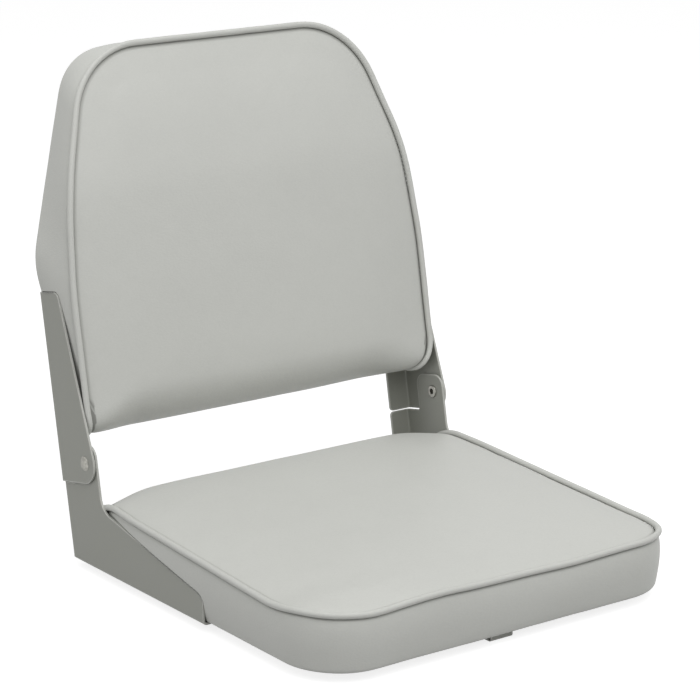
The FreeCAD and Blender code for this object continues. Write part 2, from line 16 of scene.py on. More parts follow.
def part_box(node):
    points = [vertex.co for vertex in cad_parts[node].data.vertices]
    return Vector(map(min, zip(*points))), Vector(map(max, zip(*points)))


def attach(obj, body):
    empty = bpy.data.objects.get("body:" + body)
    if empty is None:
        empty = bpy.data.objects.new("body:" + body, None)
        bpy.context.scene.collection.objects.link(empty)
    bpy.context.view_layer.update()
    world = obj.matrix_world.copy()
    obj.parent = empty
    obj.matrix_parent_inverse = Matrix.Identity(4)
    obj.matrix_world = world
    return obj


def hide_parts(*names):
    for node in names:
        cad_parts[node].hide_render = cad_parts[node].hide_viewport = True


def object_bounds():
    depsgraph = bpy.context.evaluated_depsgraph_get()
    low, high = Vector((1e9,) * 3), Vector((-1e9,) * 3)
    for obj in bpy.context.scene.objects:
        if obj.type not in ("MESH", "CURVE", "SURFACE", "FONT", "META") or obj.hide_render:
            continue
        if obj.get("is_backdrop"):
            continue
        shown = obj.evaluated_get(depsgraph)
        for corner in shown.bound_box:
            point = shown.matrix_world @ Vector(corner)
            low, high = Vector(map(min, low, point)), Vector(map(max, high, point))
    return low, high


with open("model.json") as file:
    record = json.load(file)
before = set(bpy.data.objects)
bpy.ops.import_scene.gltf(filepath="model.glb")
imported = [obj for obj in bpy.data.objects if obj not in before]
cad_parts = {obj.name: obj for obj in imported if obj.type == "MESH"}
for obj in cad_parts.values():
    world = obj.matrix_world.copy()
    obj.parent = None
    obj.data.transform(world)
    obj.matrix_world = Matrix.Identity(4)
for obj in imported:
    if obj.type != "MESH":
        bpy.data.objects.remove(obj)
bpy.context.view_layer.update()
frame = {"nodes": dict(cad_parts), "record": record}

bl_info = {
    "name": "Folding Boat Seat",
    "version": (1, 0, 0),
    "blender": (4, 5, 0),
    "location": "View3D > Sidebar > Boat Seat",
    "description": "Sewn vinyl cushions, painted folding brackets and stage of a folding boat seat",
    "category": "Object",
}

MM = 0.001

# Mesh density: columns over half the sewn end, round a corner and down a side, and dense arc steps
END_COLUMNS = 26
CORNER_COLUMNS = 12
SIDE_COLUMNS = 72
ARC_STEPS = 60

# Columns before the rolled end where rings turn to run straight across, and how many that takes
STRAIGHT_COLUMNS = 24
STRAIGHT_BLEND = 10

# Shade of the cover in its seams: fully dark within the first distance, gone after the second
DARK_WITHIN = 3.3 * MM
SHADE_FADE = 2.4 * MM


# Settings that a user would change

def length(name, description, default):
    return FloatProperty(name=name, description=description, default=default, unit="LENGTH",
                         subtype="DISTANCE", precision=4)


def angle(name, description, degrees):
    return FloatProperty(name=name, description=description, default=math.radians(degrees), subtype="ANGLE")


def number(name, description, default):
    return FloatProperty(name=name, description=description, default=default)


def colour(name, description, default):
    return FloatVectorProperty(name=name, description=description, default=default, subtype="COLOR", size=3,
                               min=0.0, max=1.0)


def place(name, description, default):
    return FloatVectorProperty(name=name, description=description, default=default, subtype="TRANSLATION",
                               unit="LENGTH", size=3)


class SeatCushionSettings(bpy.types.PropertyGroup):
    """Form of the seat cushion; its width, depth and place come from the frame."""

    corner_radius: length("Corner radius", "Front corners at the welt", 59 * MM)
    board_corner_radius: length("Board corner radius", "Front corners at the board", 57 * MM)
    side_flare: length("Side flare", "How far the welt stands out beyond the board", 2.3 * MM)
    flare_end: length("Flare end", "Where the flare gives way to the brackets, from the front", 300 * MM)
    pinch_end: length("Pinch end", "Where the sides are squeezed to the width between the brackets", 345 * MM)
    pinch_radius: length("Pinch radius", "Rounding of the line where the sides are squeezed", 120 * MM)
    front_height: length("Front height", "Seam above the hem at the front", 54.5 * MM)
    rear_height: length("Rear height", "Seam above the hem at the rear", 70.0 * MM)
    side_sag: length("Side sag", "How far the side seams are pulled down behind the front corners", 5.2 * MM)
    sag_start: length("Sag start", "Where the sag begins, from the front", 30 * MM)
    sag_full: length("Sag full", "Where the sag is deepest, from the front", 82 * MM)
    sag_shift: length("Sag shift", "How much nearer the front the right side sags", 34 * MM)
    front_wave: length("Front wave", "Unevenness of the front seam as sewn", 1.8 * MM)
    crown: length("Crown", "Rise of the panel before it swells", 4.6 * MM)
    roll_radius: length("Roll radius", "Rear edge of the panel in the middle", 42 * MM)
    side_roll_radius: length("Side roll radius", "Rear edge of the panel beside the brackets", 60 * MM)
    band_bulge: length("Band bulge", "How far the band stands out between welt and board", 2.6 * MM)
    swell: length("Swell", "How far the filling may push the cover out", 2.2 * MM)


class BackCushionSettings(bpy.types.PropertyGroup):
    """Form of the back cushion; its height, width and place come from the frame."""

    recline: angle("Recline", "Lean of the back from upright", 10.4)
    top_corner_radius: length("Top corner radius", "Top corners of the outline", 80.5 * MM)
    top_inset: length("Top inset", "How much narrower each side is at the top", 49.5 * MM)
    taper_drop: length("Taper drop", "Below the top, where the taper changes", 131.6 * MM)
    taper_inset: length("Taper inset", "How much narrower each side is there", 8.3 * MM)
    taper_radius: length("Taper radius", "Rounding of the outline there", 320 * MM)
    shoulder_drop: length("Shoulder drop", "Below the top, where the sides become upright", 223.2 * MM)
    shoulder_radius: length("Shoulder radius", "Rounding of the outline there", 480 * MM)
    board_corner_radius: length("Board corner radius", "Top corners at the board", 54 * MM)
    wide_drop: length("Wide drop", "Below the top, where the back is widest at the board", 194 * MM)
    wide_outset: length("Wide outset", "How far it stands out there beyond the upright sides", 11.5 * MM)
    wide_radius: length("Wide radius", "Rounding of the outline there", 85 * MM)
    squeeze_drop: length("Squeeze drop", "Below the top, where the brackets hold the sides in", 240 * MM)
    squeeze_outset: length("Squeeze outset", "How far the sides stand out between the brackets", 3.4 * MM)
    depth: length("Depth", "Welt in front of the hem below the taper", 52.9 * MM)
    lean_at_top: length("Lean at top", "How far the welt falls back at the top", 16.8 * MM)
    lean_softness: number("Lean softness", "Share of the taper over which the lean sets in", 0.12)
    crown: length("Crown", "Rise of the panel before it swells", 5.2 * MM)
    roll_radius: length("Roll radius", "Bottom edge of the panel in the middle", 38 * MM)
    side_roll_radius: length("Side roll radius", "Bottom edge of the panel beside the brackets", 15 * MM)
    tuck_start: length("Tuck start", "Where the seam turns in, past the flat of the panel", 14 * MM)
    tuck_length: length("Tuck length", "From there to where the seam is furthest in", 32 * MM)
    tuck_inset: length("Tuck inset", "How far the seam is tucked in there on the right", 19 * MM)
    left_tuck_inset: length("Left tuck inset", "How far the seam is tucked in there on the left", 2.5 * MM)
    band_bulge: length("Band bulge", "How far the band stands out between welt and board", 1.8 * MM)
    swell: length("Swell", "How far the filling may push the cover out", 3.2 * MM)


class CoverSettings(bpy.types.PropertyGroup):
    """Vinyl, welts, hems, stitches and staples."""

    vinyl_thickness: length("Vinyl thickness", "Thickness of the cover", 1.2 * MM)
    welt_diameter: length("Welt diameter", "Covered cord in the seams", 6.0 * MM)
    welt_drop: length("Welt drop", "Middle of the cord below the panel", 0.9 * MM)
    welt_outset: length("Welt outset", "Middle of the cord outside the band", 0.2 * MM)
    seam_inset: length("Seam inset", "Where panel and band meet, inside both faces", 2.6 * MM)
    seam_reach: length("Seam reach", "Distance over which the cover dips towards a seam", 2.2 * MM)
    crown_reach: length("Crown reach", "Distance over which a panel rises from its seam", 26 * MM)
    edge_radius: length("Edge radius", "Where the band is wrapped round the board", 4 * MM)
    end_edge_radius: length("End edge radius", "Where the panel is wrapped round the board", 1.5 * MM)
    hem_width: length("Hem width", "Cover turned in under the board", 32 * MM)
    pleat_depth: length("Pleat depth", "Folds of the hem round the corners", 0.8 * MM)
    ripple: length("Ripple", "Unevenness of the stretched vinyl", 0.35 * MM)
    gather: length("Gather", "Small gathers along the seams", 0.30 * MM)
    stitch_pitch: length("Stitch pitch", "Distance between stitches", 4.6 * MM)
    stitch_length: length("Stitch length", "Length of one stitch", 3.2 * MM)
    thread_diameter: length("Thread diameter", "Sewing thread", 0.7 * MM)
    staple_width: length("Staple width", "Crown of a staple", 11 * MM)
    staple_wire: length("Staple wire", "Width of the staple wire", 1.0 * MM)
    staple_pitch: length("Staple pitch", "Distance between staples", 27 * MM)
    staple_inset: length("Staple inset", "Staples inside the edge of the board", 22 * MM)
    rear_panel_margin: length("Rear panel margin", "Rear panel inside the outline of the back", 6 * MM)
    rear_panel_swell: length("Rear panel swell", "How far the rear panel stands out in the middle", 1.4 * MM)


class FinishSettings(bpy.types.PropertyGroup):
    """Colours of the finishes."""

    vinyl: colour("Vinyl", "Cover", (0.560, 0.566, 0.535))
    # Painted shade: the cover darkens towards this colour in its seams and where it meets the bracket plates
    seam_shade: colour("Seam shade", "Cover deep in the seams", (0.190, 0.192, 0.176))
    paint: colour("Paint", "Bracket paint", (0.290, 0.295, 0.262))
    # Painted highlight along the sheet edges, which also stands for paint worn thin there
    edge_wear_and_highlight: colour("Paint edge", "Paint worn thin along edges", (0.600, 0.605, 0.570))
    zinc: colour("Zinc", "Plated fasteners", (0.400, 0.395, 0.360))
    wood_light: colour("Light wood", "Plywood between the grain", (0.560, 0.400, 0.235))
    wood_dark: colour("Dark wood", "Plywood grain", (0.360, 0.225, 0.115))
    nylon: colour("Nylon", "Pivot washers", (0.720, 0.710, 0.670))
    thread: colour("Thread", "Sewing thread", (0.420, 0.425, 0.395))
    floor: colour("Floor", "Floor, before its own white", (0.420, 0.420, 0.420))


class StageSettings(bpy.types.PropertyGroup):
    """Camera, lamps and floor."""

    aim: place("Aim", "Point in the middle of the picture", (0.0, 45.2 * MM, 206.3 * MM))
    azimuth: angle("Azimuth", "Camera to the left of straight ahead", 36.327)
    elevation: angle("Elevation", "Camera above the horizon", 15.270)
    distance: length("Distance", "Camera from the aim", 2.601)
    lens: number("Lens", "Focal length in millimetres on a 36 mm sensor", 143.11)
    floor_size: length("Floor size", "Side of the square floor", 14.0)
    floor_glow: number("Floor glow", "How much white of its own the camera sees on the floor", 0.8)
    top_lamp: number("Top lamp", "Power of the soft box overhead, in watts", 15.0)
    front_lamp: number("Front lamp", "Power of the soft box high in front, in watts", 20.0)
    right_lamp: number("Right lamp", "Power of the soft box on the right, in watts", 6.5)
    left_lamp: number("Left lamp", "Power of the soft box on the left, in watts", 12.5)
    sky: number("Sky", "Strength of the even light all round", 0.41)


class BoatSeatSettings(bpy.types.PropertyGroup):
    """All settings of the boat seat."""

    seat: PointerProperty(type=SeatCushionSettings)
    back: PointerProperty(type=BackCushionSettings)
    cover: PointerProperty(type=CoverSettings)
    finish: PointerProperty(type=FinishSettings)
    stage: PointerProperty(type=StageSettings)


def settings():
    return bpy.context.scene.boat_seat


# Shader maths

class Signal:
    """A node's output socket that can be used in Python expressions, or the bare tree to start from."""

    def __init__(self, tree, socket=None):
        self.tree = tree
        self.socket = socket

    def node(self, kind, setup=None, inputs=None, output=0):
        """Adds a node, sets it up, then fills or links its sockets; gives one of its outputs."""
        made = self.tree.nodes.new(kind)
        for key, value in (setup or {}).items():
            if key == "stops":
                for stop, (position, tint) in zip(made.color_ramp.elements, value):
                    stop.position = position
                    stop.color = (*tint, 1.0)
            else:
                setattr(made, key, value)
        for key, value in (inputs or {}).items():
            if isinstance(value, Signal):
                self.tree.links.new(value.socket, made.inputs[key])
            else:
                made.inputs[key].default_value = value
        return Signal(self.tree, made.outputs[output] if made.outputs else None)

    def maths(self, operation, first, second):
        return self.node("ShaderNodeMath", {"operation": operation}, {0: first, 1: second})

    def __add__(self, other):
        return self.maths("ADD", self, other)

    def __radd__(self, other):
        return self.maths("ADD", other, self)

    def __sub__(self, other):
        return self.maths("SUBTRACT", self, other)

    def __rsub__(self, other):
        return self.maths("SUBTRACT", other, self)

    def __mul__(self, other):
        return self.maths("MULTIPLY", self, other)

    def __rmul__(self, other):
        return self.maths("MULTIPLY", other, self)

    def __pow__(self, other):
        return self.maths("POWER", self, other)

    def clamped(self):
        return self.node("ShaderNodeClamp", {}, {"Value": self})

    def blend(self, tint_at_0, tint_at_1):
        """A colour between two, by this value."""
        mix = {"data_type": "RGBA"}
        return self.node("ShaderNodeMix", mix, {0: self, 6: tint_at_0, 7: tint_at_1}, 2)

    def shade(self, tint):
        """A colour darkened by this value, from 0, black, to 1, the colour itself."""
        return self.blend(opaque((0.0, 0.0, 0.0)), opaque(tint))

    def stretched(self, scale):
        """Coordinates scaled by a different factor along each axis."""
        return self.node("ShaderNodeVectorMath", {"operation": "MULTIPLY"}, {0: self, 1: scale})

    def cloud(self, scale, detail=3.0, roughness=0.5):
        """Smooth noise over coordinates, about 0.5 in the mean."""
        return self.node("ShaderNodeTexNoise", {}, {"Vector": self, "Scale": scale, "Detail": detail,
                                                    "Roughness": roughness})

    def bump(self, strength, depth, normal=None):
        inputs = {"Strength": strength, "Distance": depth, "Height": self}
        if normal is not None:
            inputs["Normal"] = normal
        return self.node("ShaderNodeBump", {}, inputs)


def opaque(tint):
    return (*tint, 1.0)


def bare_tree(owner):
    """The emptied node tree of a material or a world."""
    owner.use_nodes = True
    owner.node_tree.nodes.clear()
    return Signal(owner.node_tree)


def new_material(name):
    """An empty material, its bare tree and its coordinates in metres."""
    material = bpy.data.materials.new(name)
    tree = bare_tree(material)
    return material, tree, tree.node("ShaderNodeTexCoord", output="Object")


def surface(tree, inputs):
    """Closes a material with one principled shader."""
    shader = tree.node("ShaderNodeBsdfPrincipled", {}, inputs)
    tree.node("ShaderNodeOutputMaterial", {}, {"Surface": shader})


def vinyl_material(name, seams):
    """Pebbled marine vinyl; seams says whether the piece carries its distance to the seams, from which shade
    is painted into the seams and along the bracket plates.
    """
    finish = settings().finish
    material, tree, spot = new_material(name)
    wandering = spot.stretched((0.55, 1.0, 1.0))
    pebble = wandering.node("ShaderNodeTexVoronoi", {"feature": "SMOOTH_F1"},
                            {"Vector": wandering, "Scale": 620.0, "Smoothness": 0.35, "Randomness": 0.9})
    fine = spot.cloud(1500.0, 2.0)
    broad = spot.cloud(9.0, 3.0)
    patch = spot.cloud(55.0, 4.0)
    height = pebble * -0.8 + fine * 0.25 + patch * 0.5
    # Tone that varies at random over the vinyl, plus painted shade that makes the pebble valleys a little
    # darker
    lightness = 0.94 + broad * 0.07 + patch * 0.04 - pebble * 0.035
    tint = lightness.shade(finish.vinyl)
    # Painted shade deep in the seams and along the bracket plates, set by the seam_distance attribute
    if seams:
        distance = tree.node("ShaderNodeAttribute", {"attribute_name": "seam_distance"}, output="Fac")
        depth = 1 - (distance * (1 / SHADE_FADE) - DARK_WITHIN / SHADE_FADE).clamped()
        tint = (depth ** 1.3 * 0.85).blend(tint, opaque(finish.seam_shade))
    surface(tree, {
        "Base Color": tint,
        "Roughness": 0.40 + patch * 0.14 + pebble * 0.05,
        "Specular IOR Level": 0.42,
        "Normal": height.bump(0.42, 0.28 * MM),
    })
    return material


def paint_material():
    """Satin paint on pressed sheet: slight orange peel, pale along the edges as a painted edge highlight that
    also stands for paint worn thin there.
    """
    finish = settings().finish
    material, tree, spot = new_material("bracket_paint")
    rounded = tree.node("ShaderNodeBevel", {"samples": 6}, {"Radius": 0.6 * MM})
    thickness = tree.node("ShaderNodeAmbientOcclusion", {"inside": True, "only_local": True, "samples": 8},
                          {"Distance": 1.7 * MM}, "AO")
    peel = spot.cloud(650.0, 2.0)
    cloudy = spot.cloud(26.0, 4.0)
    # Painted highlight on the thin sheet edges, with worn paint: the inside occlusion finds where the sheet
    # is thin
    edge = ((1 - thickness) * 2.2 + cloudy * 0.4 - 0.4).clamped()
    lightness = 0.93 + cloudy * 0.10
    tint = edge.blend(lightness.shade(finish.paint), opaque(finish.edge_wear_and_highlight))
    surface(tree, {
        "Base Color": tint,
        "Roughness": 0.34 + cloudy * 0.16,
        "Specular IOR Level": 0.5,
        "Normal": peel.bump(0.10, 0.12 * MM, rounded),
    })
    return material


def zinc_material():
    """Plated steel: dull metal with a fine brushed look and duller spots."""
    finish = settings().finish
    material, tree, spot = new_material("zinc_plate")
    rounded = tree.node("ShaderNodeBevel", {"samples": 4}, {"Radius": 0.25 * MM})
    spots = spot.cloud(380.0, 4.0)
    brushed = spot.stretched((1.0, 1.0, 9.0)).cloud(420.0, 3.0)
    surface(tree, {
        "Base Color": (0.25 + spots * 1.15).shade(finish.zinc),
        "Metallic": 1.0,
        "Roughness": 0.32 + spots * 0.25,
        "Normal": brushed.bump(0.10, 0.08 * MM, rounded),
    })
    return material


def plywood_material():
    """Rotary-cut plywood: long grain along the board with darker streaks."""
    finish = settings().finish
    material, tree, spot = new_material("plywood")
    along = spot.stretched((1.0, 0.09, 1.0))
    streak = along.cloud(70.0, 5.0, 0.6)
    pore = along.cloud(900.0, 2.0)
    patch = spot.cloud(11.0, 3.0)
    grain = (streak * 1.7 - 0.55 + patch * 0.25).clamped()
    surface(tree, {
        "Base Color": grain.blend(opaque(finish.wood_light), opaque(finish.wood_dark)),
        "Roughness": 0.62 + streak * 0.18,
        "Specular IOR Level": 0.3,
        "Normal": (streak * 0.6 + pore * 0.4).bump(0.35, 0.25 * MM),
    })
    return material


def nylon_material():
    finish = settings().finish
    material, tree, spot = new_material("nylon")
    cloudy = spot.cloud(240.0, 3.0)
    surface(tree, {
        "Base Color": (0.92 + cloudy * 0.14).shade(finish.nylon),
        "Roughness": 0.38 + cloudy * 0.16,
        "Normal": cloudy.bump(0.10, 0.10 * MM),
    })
    return material


def thread_material():
    """Twisted polyester thread."""
    finish = settings().finish
    material, tree, spot = new_material("thread")
    twist = spot.node("ShaderNodeTexWave", {"bands_direction": "DIAGONAL"},
                      {"Vector": spot, "Scale": 900.0, "Distortion": 1.5})
    surface(tree, {
        "Base Color": (0.80 + twist * 0.25).shade(finish.thread),
        "Roughness": 0.72 + twist * 0.12,
        "Specular IOR Level": 0.25,
        "Normal": twist.bump(0.4, 0.1 * MM),
    })
    return material


def finish_named(name):
    """A finish by name, made when it is first asked for."""
    makers = {
        "cushion_vinyl": lambda: vinyl_material("cushion_vinyl", True),
        "plain_vinyl": lambda: vinyl_material("plain_vinyl", False),
        "bracket_paint": paint_material,
        "zinc_plate": zinc_material,
        "plywood": plywood_material,
        "nylon": nylon_material,
        "thread": thread_material,
    }
    return bpy.data.materials.get(name) or makers[name]()


# Pieces

@contextmanager
def edited(mesh):
    """A mesh open for editing, which gets the changes at the end."""
    work = bmesh.new()
    work.from_mesh(mesh)
    yield work
    work.to_mesh(mesh)
    work.free()


def linked_object(name, points, faces):
    """An object in the scene whose faces all look outward."""
    mesh = bpy.data.meshes.new(name)
    mesh.from_pydata([tuple(point) for point in points], [], faces)
    with edited(mesh) as work:
        bmesh.ops.recalc_face_normals(work, faces=work.faces)
    made = bpy.data.objects.new(name, mesh)
    bpy.context.scene.collection.objects.link(made)
    return made


def new_piece(name, points, faces, body, slot, finish):
    """A mesh that rides on a body of the frame, with its finish."""
    piece = linked_object(name, points, faces)
    piece.data.shade_smooth()
    piece.data.materials.append(finish_named(finish))
    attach(piece, body)
    return piece


def gathered(name, copies, body, slot, finish):
    """One piece made of several copies, each a list of points and a list of faces."""
    points = []
    faces = []
    for copy_points, copy_faces in copies:
        faces.extend([index + len(points) for index in face] for face in copy_faces)
        points.extend(copy_points)
    return new_piece(name, points, faces, body, slot, finish)


def vertex_places(mesh):
    flat = np.empty(3 * len(mesh.vertices))
    mesh.vertices.foreach_get("co", flat)
    return flat.reshape(-1, 3)


def vertex_normals(mesh):
    return np.array([tuple(vertex.normal) for vertex in mesh.vertices])


def seam_distances(mesh):
    values = np.empty(len(mesh.vertices))
    mesh.attributes["seam_distance"].data.foreach_get("value", values)
    return values


def set_vertex_places(mesh, places):
    mesh.vertices.foreach_set("co", np.ascontiguousarray(places).ravel())
    mesh.update()


def smooth_once(piece):
    """One level of subdivision, kept in the mesh."""
    smooth = piece.modifiers.new("smooth", "SUBSURF")
    smooth.levels = 1
    keep_shape(piece)


def keep_shape(piece):
    """Puts a piece's mesh as its modifiers leave it in place of the mesh, without the modifiers."""
    shaped = piece.evaluated_get(bpy.context.evaluated_depsgraph_get())
    mesh = bpy.data.meshes.new_from_object(shaped)
    piece.modifiers.clear()
    piece.data = mesh


def close_opening(piece):
    """Closes the one open loop of a cover, on the side that lies inside the board."""
    with edited(piece.data) as work:
        bmesh.ops.holes_fill(work, edges=[edge for edge in work.edges if edge.is_boundary], sides=0)


# Outlines are half outlines in complex numbers, x + i s, from the middle of the sewn end to the rolled end

def unit(number):
    return number / abs(number)


def rounded_line(corners):
    """Dense points along straight runs and tangent arcs; corners are (x, s, radius), plain at both ends."""
    dense = [complex(*corners[0][:2])]
    for before, (x, s, radius), after in zip(corners, corners[1:], corners[2:]):
        corner = complex(x, s)
        to_before = unit(complex(*before[:2]) - corner)
        to_after = unit(complex(*after[:2]) - corner)
        half_angle = abs(cmath.phase(to_after / to_before)) / 2
        start = corner + to_before * radius / math.tan(half_angle)
        end = corner + to_after * radius / math.tan(half_angle)
        centre = corner + unit(to_before + to_after) * radius / math.sin(half_angle)
        sweep = cmath.phase((end - centre) / (start - centre))
        dense.extend(centre + (start - centre) * np.exp(1j * sweep * np.linspace(0, 1, ARC_STEPS)))
    dense.append(complex(*corners[-1][:2]))
    return np.array(dense)


def run_lengths(points):
    """Length of the run up to each of a row of points."""
    return np.concatenate([[0.0], np.cumsum(np.abs(np.diff(points)))])


def along_line(dense, places):
    """Points at given lengths along dense points."""
    lengths = run_lengths(dense)
    return np.interp(places, lengths, dense.real) + 1j * np.interp(places, lengths, dense.imag)


def half_rim(corners):
    """Points and inward directions round the right half of an outline, from the middle of the sewn end."""
    dense = rounded_line(corners)
    lengths = run_lengths(dense)
    arc_start = lengths[1]
    arc_end = lengths[ARC_STEPS]
    places = np.concatenate([
        np.linspace(0, arc_start, END_COLUMNS + 1),
        np.linspace(arc_start, arc_end, CORNER_COLUMNS + 1)[1:],
        np.linspace(arc_end, lengths[-1], SIDE_COLUMNS + 1)[1:],
    ])
    step = MM
    points = along_line(dense, places)
    tangents = along_line(dense, places + step) - along_line(dense, places - step)
    across = smooth_step((np.arange(len(points)) - len(points) + STRAIGHT_COLUMNS) / STRAIGHT_BLEND)
    inward = (1 - across) * 1j * tangents / np.abs(tangents) - across
    return points, inward / np.abs(inward)


def whole_rim(corners, left_corners=None):
    """Points and inward directions round a whole outline: up the right side, over the end, down the left."""
    right, right_inward = half_rim(corners)
    left, left_inward = half_rim(left_corners or corners)
    rim = np.concatenate([right[::-1], -np.conj(left[1:])])
    return rim, np.concatenate([right_inward[::-1], -np.conj(left_inward[1:])])


RIM_LAST = 2 * (END_COLUMNS + CORNER_COLUMNS + SIDE_COLUMNS)
RIM_CORNER = SIDE_COLUMNS + CORNER_COLUMNS // 2


def strip(first, second):
    """Faces between two rows of point numbers; points that meet leave a triangle."""
    faces = []
    for a, b, c, d in zip(first, first[1:], second[1:], second):
        corners = list(dict.fromkeys((int(a), int(b), int(c), int(d))))
        if len(corners) > 2:
            faces.append(corners)
    return faces


def panel_grid(rim, inward, insets):
    """A panel inside a rim: rings along it, then a grid that fills the middle.

    Gives the points, the faces, and the numbers along the open end from right to left."""
    count = len(rim)
    rings = [rim + inset * inward for inset in insets]
    inner = rings[-1]
    right = inner[:RIM_CORNER + 1, None]
    left = inner[::-1][:RIM_CORNER + 1, None]
    far = inner[None, RIM_CORNER:RIM_LAST - RIM_CORNER + 1]
    columns = far.shape[1] - 1
    near = np.linspace(inner[0], inner[-1], columns + 1)[None, :]
    up = np.linspace(0, 1, RIM_CORNER + 1)[:, None]
    over = np.linspace(0, 1, columns + 1)[None, :]
    corner_part = (1 - up) * ((1 - over) * near[0, 0] + over * near[0, -1])
    corner_part = corner_part + up * ((1 - over) * far[0, 0] + over * far[0, -1])
    grid = (1 - up) * near + up * far + (1 - over) * right + over * left - corner_part

    first_inner = (len(insets) - 1) * count
    numbers = np.zeros(grid.shape, int)
    numbers[:, 0] = first_inner + np.arange(RIM_CORNER + 1)
    numbers[:, -1] = first_inner + RIM_LAST - np.arange(RIM_CORNER + 1)
    numbers[-1, :] = first_inner + RIM_CORNER + np.arange(columns + 1)
    middle = grid[:-1, 1:-1]
    numbers[:-1, 1:-1] = len(insets) * count + np.arange(middle.size).reshape(middle.shape)

    ring_numbers = np.arange(len(insets) * count).reshape(len(insets), count)
    faces = []
    for row, next_row in zip(ring_numbers, ring_numbers[1:]):
        faces += strip(row, next_row)
    for row, next_row in zip(numbers, numbers[1:]):
        faces += strip(row, next_row)
    open_end = [*ring_numbers[:-1, 0], *numbers[0], *ring_numbers[:-1, -1][::-1]]
    return np.concatenate(rings + [middle.ravel()]), faces, [int(index) for index in open_end]


def rim_distance(points, rim):
    """Distance of each point to the nearest point of a rim."""
    return np.abs(points[:, None] - rim[None, :]).min(axis=1)


def smooth_step(share):
    share = np.clip(share, 0.0, 1.0)
    return share * share * (3 - 2 * share)


# Cushions, each in its own frame: x across, s from the sewn end to the rolled end, n out from the hem

class CushionForm:
    """Side profile and outlines of one cushion, and the matrix that puts it in place."""

    def __init__(self, matrix, depth, level, roll, side_roll, edge):
        self.matrix = matrix
        self.depth = depth
        self.level = level
        self.roll = roll
        self.side_roll = side_roll
        self.edge = edge
        self.uneven = lambda x, s: 0 * x
        self.left_seam_corners = None
        self.flat_end = depth - max(roll, side_roll)
        self.span = self.rolled_span(roll)
        self.panel_end = self.flat_end + self.span

    def rolled_span(self, roll):
        """Length of the panel from the end of its flat stretch to the edge of the board."""
        drop = self.level(self.depth - roll) - roll - self.edge
        return self.depth - roll - self.flat_end + roll * math.pi / 2 + drop

    def profile(self, run, roll):
        """Places (s, n) and normals along the panel, at distances from the sewn end."""
        along = (run - self.flat_end) * self.rolled_span(roll) / self.span
        reach = self.depth - roll - self.flat_end
        turn = np.clip((along - reach) / roll, 0, math.pi / 2)
        fall = np.maximum(0, along - reach - roll * math.pi / 2)
        ahead = np.minimum(run, self.flat_end) + np.clip(along, 0, reach)
        slope = (self.level(ahead + MM) - self.level(ahead - MM)) / (2 * MM)
        s = ahead + roll * np.sin(turn)
        n = self.level(ahead) - roll * (1 - np.cos(turn)) - fall
        return s, n, np.sin(turn) - slope * np.cos(turn), np.cos(turn)

    def placed(self, local):
        """Points of the cushion's own frame in the part's frame."""
        turn = np.array(self.matrix.to_3x3())
        return local @ turn.T + np.array(self.matrix.translation)


def pivot_place():
    joint = next(joint for joint in frame["record"]["behaviour"]["joints"] if joint["name"] == "back_fold")
    return Vector(joint["pos_m"])


def back_axes():
    """Directions along the reclined back: rearward and up."""
    cosine = math.cos(settings().back.recline)
    sine = math.sin(settings().back.recline)
    return Vector((0, cosine, -sine)), Vector((0, sine, cosine))


def back_box(node):
    """How far a node reaches behind and above the pivot, lowest and highest, and its half width."""
    rearward, up = back_axes()
    places = vertex_places(frame["nodes"][node].data) - np.array(pivot_place())
    behind = places @ np.array(rearward)
    above = places @ np.array(up)
    return behind.min(), behind.max(), above.min(), above.max(), np.abs(places[:, 0]).max()


def seat_form():
    """Form of the seat cushion with its outlines at the welt and at the board."""
    seat = settings().seat
    cover = settings().cover
    low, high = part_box("seat_side_band")
    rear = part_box("seat_top_panel")[1].y
    depth = rear - low.y
    front_half = high.x
    board_edge = vertex_places(frame["nodes"]["seat_board"].data)
    rear_half = board_edge[board_edge[:, 1] > rear - 10 * MM][:, 0].max() + cover.vinyl_thickness

    def level(s):
        return seat.front_height + (seat.rear_height - seat.front_height) * s / depth

    form = CushionForm(Matrix.Translation((0, low.y, low.z)), depth, level, seat.roll_radius,
                       seat.side_roll_radius, cover.edge_radius)
    flared = front_half + seat.side_flare
    flared_rear = flared - (front_half - rear_half) * seat.flare_end / depth
    form.seam_corners = [(0, 0, 0), (flared, 0, seat.corner_radius),
                         (flared_rear, seat.flare_end, seat.pinch_radius),
                         (rear_half, seat.pinch_end, seat.pinch_radius), (rear_half, form.panel_end, 0)]
    form.board_corners = [(0, 0, 0), (front_half, 0, seat.board_corner_radius), (rear_half, depth, 0)]
    form.band_bulge = seat.band_bulge

    def uneven(x, s):
        """How far the seam leaves its straight line: pulled down along the sides, wavy along the front."""
        shift = seat.sag_shift * smooth_step(0.5 + x / (200 * MM))
        sag = smooth_step((s + shift - seat.sag_start) / (seat.sag_full - seat.sag_start))
        sag = sag * np.clip((depth - s) / (depth - seat.sag_full), 0, 1)
        wave = np.zeros_like(x)
        for middle, width, size in ((-82, 36, 1.0), (72, 48, -0.9), (-148, 20, -0.5)):
            wave = wave + size * np.exp(-((x - middle * MM) / (width * MM)) ** 2)
        wave_reach = 40 * MM
        return seat.front_wave * wave * np.exp(-(s / wave_reach) ** 2) - seat.side_sag * sag

    form.uneven = uneven
    return form


